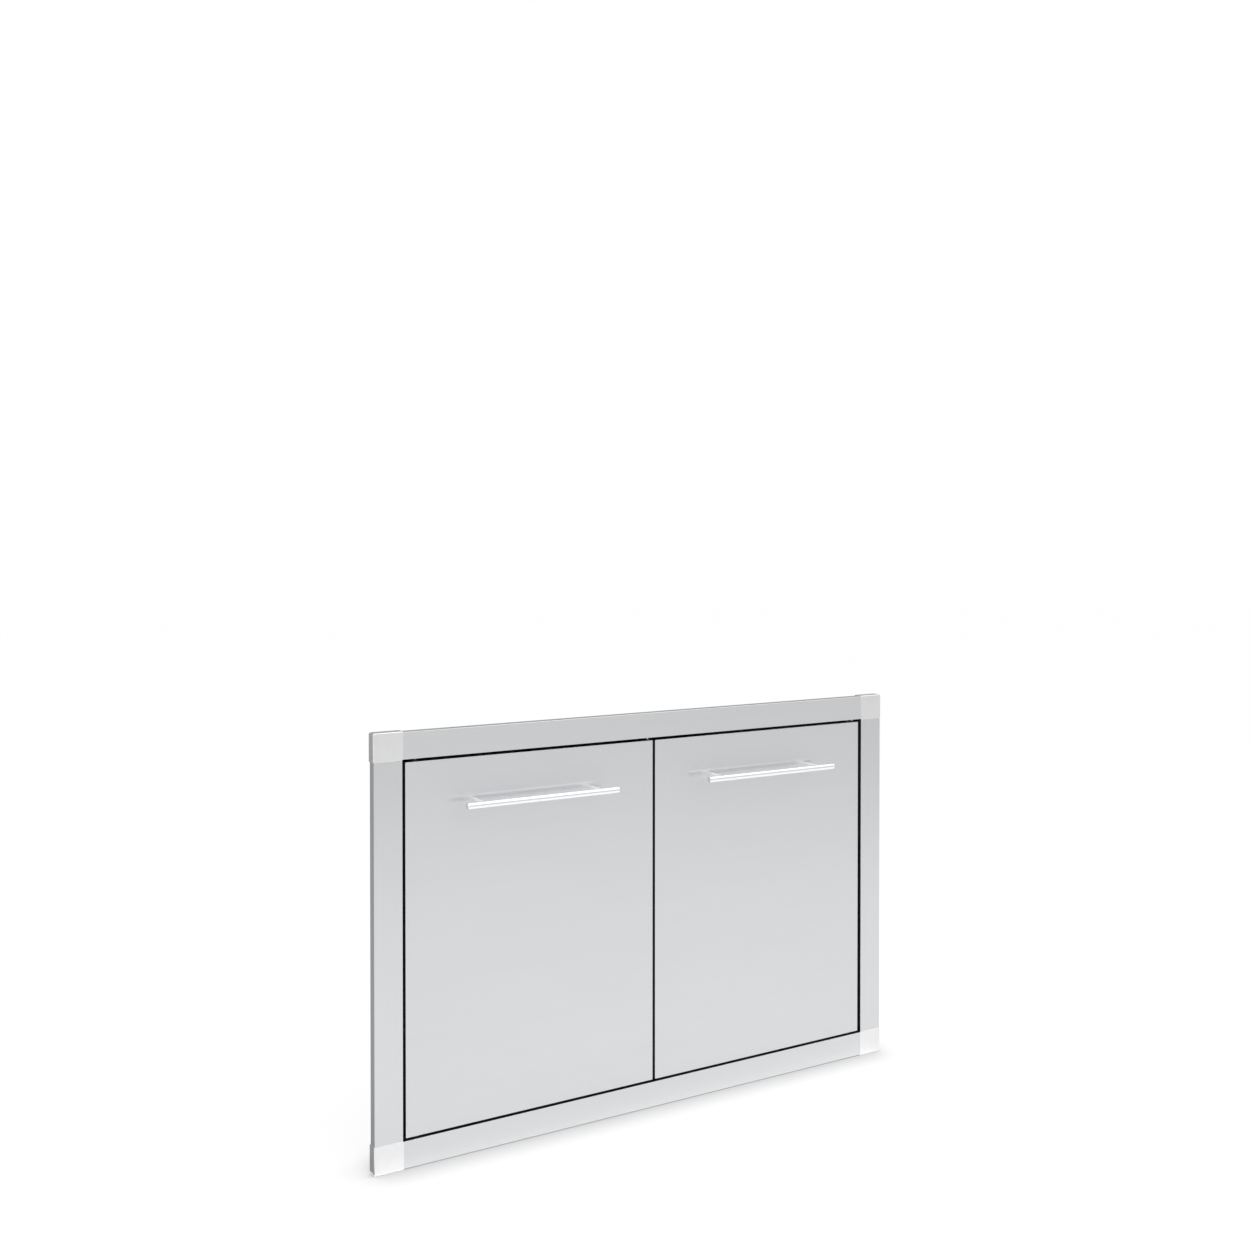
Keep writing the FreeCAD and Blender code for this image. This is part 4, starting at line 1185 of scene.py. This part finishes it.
@dataclass
class Studio:
    """A pale floor and backdrop, soft lamps and the camera of the photograph, in metres.

    The floor paints the object's contact shadow into what the camera sees and paints light into
    what reflections see, and a grey sheet that only reflections see paints shade. The floor's
    glow, whose low end is a painted contact shadow, its mirrored glow, which is painted light,
    and the walls' levels each have two values, at the two ends of what they follow: how open the
    air is, how far the object is, how high and how far back a direction points.
    """

    floor_size: float = 30.0
    floor_colour: str = "F2F2F2"
    paint_share: float = 0.25
    # Glow seen straight, from closed to open air above the floor: its low end paints the object's contact shadow
    glow: Span = (0.11, 0.8)
    painted_shadow_reach: float = 0.06
    painted_shadow_rays: int = 32
    # Painted light that reflections see where the air above the floor is closed off
    painted_contact_light: float = 0.45
    # Painted light that reflections see on the floor, near the object and far from it
    mirror: Span = (0.14, 0.04)
    mirror_reach: Span = (0.3, 2.4)
    # A grey sheet that only reflections see paints shade into the object's polished left edges
    shade_colour: str = "A8A8A8"
    shade_across: Span = (-4.0, -0.46)
    shade_along: Span = (-0.03, 6.0)
    shade_lift: float = 0.002
    sky: Span = (0.62, 1.05)
    sky_rise: Span = (0.0, 0.45)
    back_wall: Span = (1.0, 0.5)
    back_turn: Span = (0.1, 0.6)
    lamps: tuple[Softbox, ...] = (
        Softbox("overhead_softbox", (-0.5, -1.4, 2.4), 1.8, 1.4, 1.2),
        Softbox("top_softbox", (1.2, -0.8, 2.4), 2.2, 1.6, 1.0),
        Softbox("right_softbox", (2.5, -0.15, 1.0), 1.0, 1.6, 1.6),
        Softbox("left_softbox", (-2.5, -0.7, 1.0), 1.0, 1.6, 1.6))
    lens: float = 40.93
    sensor: float = 36.0
    clip: Span = (0.05, 60.0)
    camera_place: tuple[float, float, float] = (-1.1826, -1.8455, 0.5767)
    yaw: float = 31.668
    pitch: float = -0.79
    shift: float = -0.0564

    def level_sheet(self, material: bpy.types.Material, name: str, across: Span, along: Span,
                    height: float) -> bpy.types.Object:
        """Adds a flat, level stage sheet.

        Args:
            material: Its material.
            name: Its name.
            across: Its ends in X.
            along: Its ends in Y.
            height: Its Z.

        Returns:
            The object, marked as stage.
        """
        (left, right), (near, far) = across, along
        corners = [(left, near, height), (right, near, height), (right, far, height),
                   (left, far, height)]
        mesh = bpy.data.meshes.new(name)
        mesh.from_pydata(corners, [], [(0, 1, 2, 3)])
        mesh.materials.append(material)
        sheet = bpy.data.objects.new(name, mesh)
        bpy.context.scene.collection.objects.link(sheet)
        sheet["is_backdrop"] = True
        return sheet

    def floor(self, foot: float) -> None:
        """Lays a white floor that keeps the object's shadow.

        Seen directly, a quarter of it is lit paint and the rest glows, less where the object
        closes off the air above it, which is a painted contact shadow. In reflections the paint
        shows whole, lifted by painted light that is brighter near the object and where the air
        above it is closed off.

        Args:
            foot: Height of the object's foot.
        """
        material = bpy.data.materials.new("Matt_white_floor")
        tree = empty_tree(material)
        material.cycles.emission_sampling = "NONE"
        path = add_node(tree, "LightPath").outputs
        straight = path["Is Camera Ray"]
        white, part = [linear(self.floor_colour, share) for share in (1.0, self.paint_share)]
        paint = add_node(tree, "Mix", {0: straight, 6: white, 7: part}, data_type="RGBA").outputs[2]
        lit = add_node(tree, "BsdfDiffuse", {"Color": paint}).outputs[0]
        # Ambient occlusion dims the glow that the camera sees near the object: a painted contact shadow
        painted_shadow_mask = add_node(tree, "AmbientOcclusion", {"Distance": self.painted_shadow_reach},
                            samples=self.painted_shadow_rays).outputs["AO"]
        seen = add_node(tree, "MapRange", {"Value": painted_shadow_mask, "To Min": self.glow[0],
                                           "To Max": self.glow[1]}).outputs[0]
        place = add_node(tree, "TexCoord").outputs["Object"]
        away = add_node(tree, "VectorMath", {0: place, 1: (0.0, 0.0, foot)},
                        operation="DISTANCE").outputs["Value"]
        # Painted light in reflections, brighter near the object
        mirror = add_node(tree, "MapRange", {
            "Value": away, "From Min": self.mirror_reach[0], "From Max": self.mirror_reach[1],
            "To Min": self.mirror[0], "To Max": self.mirror[1]}).outputs[0]
        mirrored = add_node(tree, "Math", {0: path["Is Glossy Ray"],
                                           1: path["Is Transmission Ray"]},
                            operation="MAXIMUM").outputs[0]
        # More painted light in reflections where the air above is closed off
        closed = add_node(tree, "Math", {0: 1.0, 1: painted_shadow_mask}, operation="SUBTRACT").outputs[0]
        mirror = add_node(tree, "Math", {0: closed, 1: self.painted_contact_light, 2: mirror},
                          operation="MULTIPLY_ADD").outputs[0]
        both = add_node(tree, "Math", {0: straight, 1: seen}, operation="MULTIPLY").outputs[0]
        strength = add_node(tree, "Math", {0: mirrored, 1: mirror, 2: both},
                            operation="MULTIPLY_ADD").outputs[0]
        glow = add_node(tree, "Emission", {"Color": WHITE, "Strength": strength}).outputs[0]
        surface = add_node(tree, "AddShader", {0: lit, 1: glow}).outputs[0]
        add_node(tree, "OutputMaterial", {"Surface": surface})
        ends = -self.floor_size / 2, self.floor_size / 2
        self.level_sheet(material, "studio_floor", ends, ends, foot)

    def shade(self, foot: float) -> None:
        """Lays a grey sheet behind the object, which only its polished left edges reflect.

        Args:
            foot: Height of the object's foot.
        """
        # The sheet is painted shade: only glossy rays see it, so it darkens reflections and casts no shadow
        material = bpy.data.materials.new("Grey_studio_cloth")
        tree = empty_tree(material)
        painted_shade_sheet = add_node(tree, "BsdfDiffuse", {"Color": linear(self.shade_colour)}).outputs[0]
        add_node(tree, "OutputMaterial", {"Surface": painted_shade_sheet})
        sheet = self.level_sheet(material, "studio_shade", self.shade_across, self.shade_along,
                                 foot + self.shade_lift)
        sheet.visible_camera = sheet.visible_diffuse = False
        sheet.visible_shadow = sheet.visible_transmission = False

    def world(self) -> None:
        """Lights the object from all round, lighter above and darker behind, against white."""
        world = bpy.data.worlds.new("studio")
        bpy.context.scene.world = world
        tree = empty_tree(world)
        world.cycles.sampling_method = "NONE"
        direction = add_node(tree, "TexCoord").outputs["Generated"]
        turned = add_node(tree, "SeparateXYZ", {0: direction}).outputs
        above, behind = [
            add_node(tree, "MapRange", {"Value": turned[axis.value], "From Min": ends[0],
                                        "From Max": ends[1], "To Min": levels[0],
                                        "To Max": levels[1]},
                     interpolation_type="SMOOTHSTEP").outputs[0]
            for axis, ends, levels in ((Axis.UP, self.sky_rise, self.sky),
                                       (Axis.DEPTH, self.back_turn, self.back_wall))]
        level = add_node(tree, "Math", {0: above, 1: behind}, operation="MULTIPLY").outputs[0]
        walls, white = [
            add_node(tree, "Background", {"Color": WHITE, "Strength": strength}).outputs[0]
            for strength in (level, 1.0)]
        path = add_node(tree, "LightPath").outputs
        seen = add_node(tree, "Math", {0: path["Is Camera Ray"], 1: path["Is Transmission Ray"]},
                        operation="MAXIMUM").outputs[0]
        both = add_node(tree, "MixShader", {0: seen, 1: walls, 2: white}).outputs[0]
        add_node(tree, "OutputWorld", {"Surface": both})

    def camera(self) -> None:
        """Sets the camera where the photograph's perspective puts it."""
        camera = bpy.data.cameras.new("camera")
        camera.lens = self.lens
        camera.sensor_width = self.sensor
        camera.shift_y = self.shift
        camera.clip_start, camera.clip_end = self.clip
        holder = bpy.data.objects.new("camera", camera)
        holder.location = self.camera_place
        holder.rotation_euler = (math.radians(90 + self.pitch), 0.0, math.radians(-self.yaw))
        bpy.context.scene.collection.objects.link(holder)
        bpy.context.scene.camera = holder

    def build(self, foot: float) -> None:
        """Builds the studio round the object.

        Args:
            foot: Height of the object's foot.
        """
        self.floor(foot)
        self.shade(foot)
        self.world()
        for lamp in self.lamps:
            lamp.build()
        self.camera()
        bpy.context.scene.view_settings.view_transform = "Standard"


def main() -> None:
    """Builds the object and its studio."""
    logging.basicConfig(level=logging.INFO, format="%(message)s")
    packed = [list(corner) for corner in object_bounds()]
    Frame().build()
    for side in Side:
        Door(side).build()
    Studio().build(packed[0][Axis.UP.value])


if __name__ == "__main__":
    main()
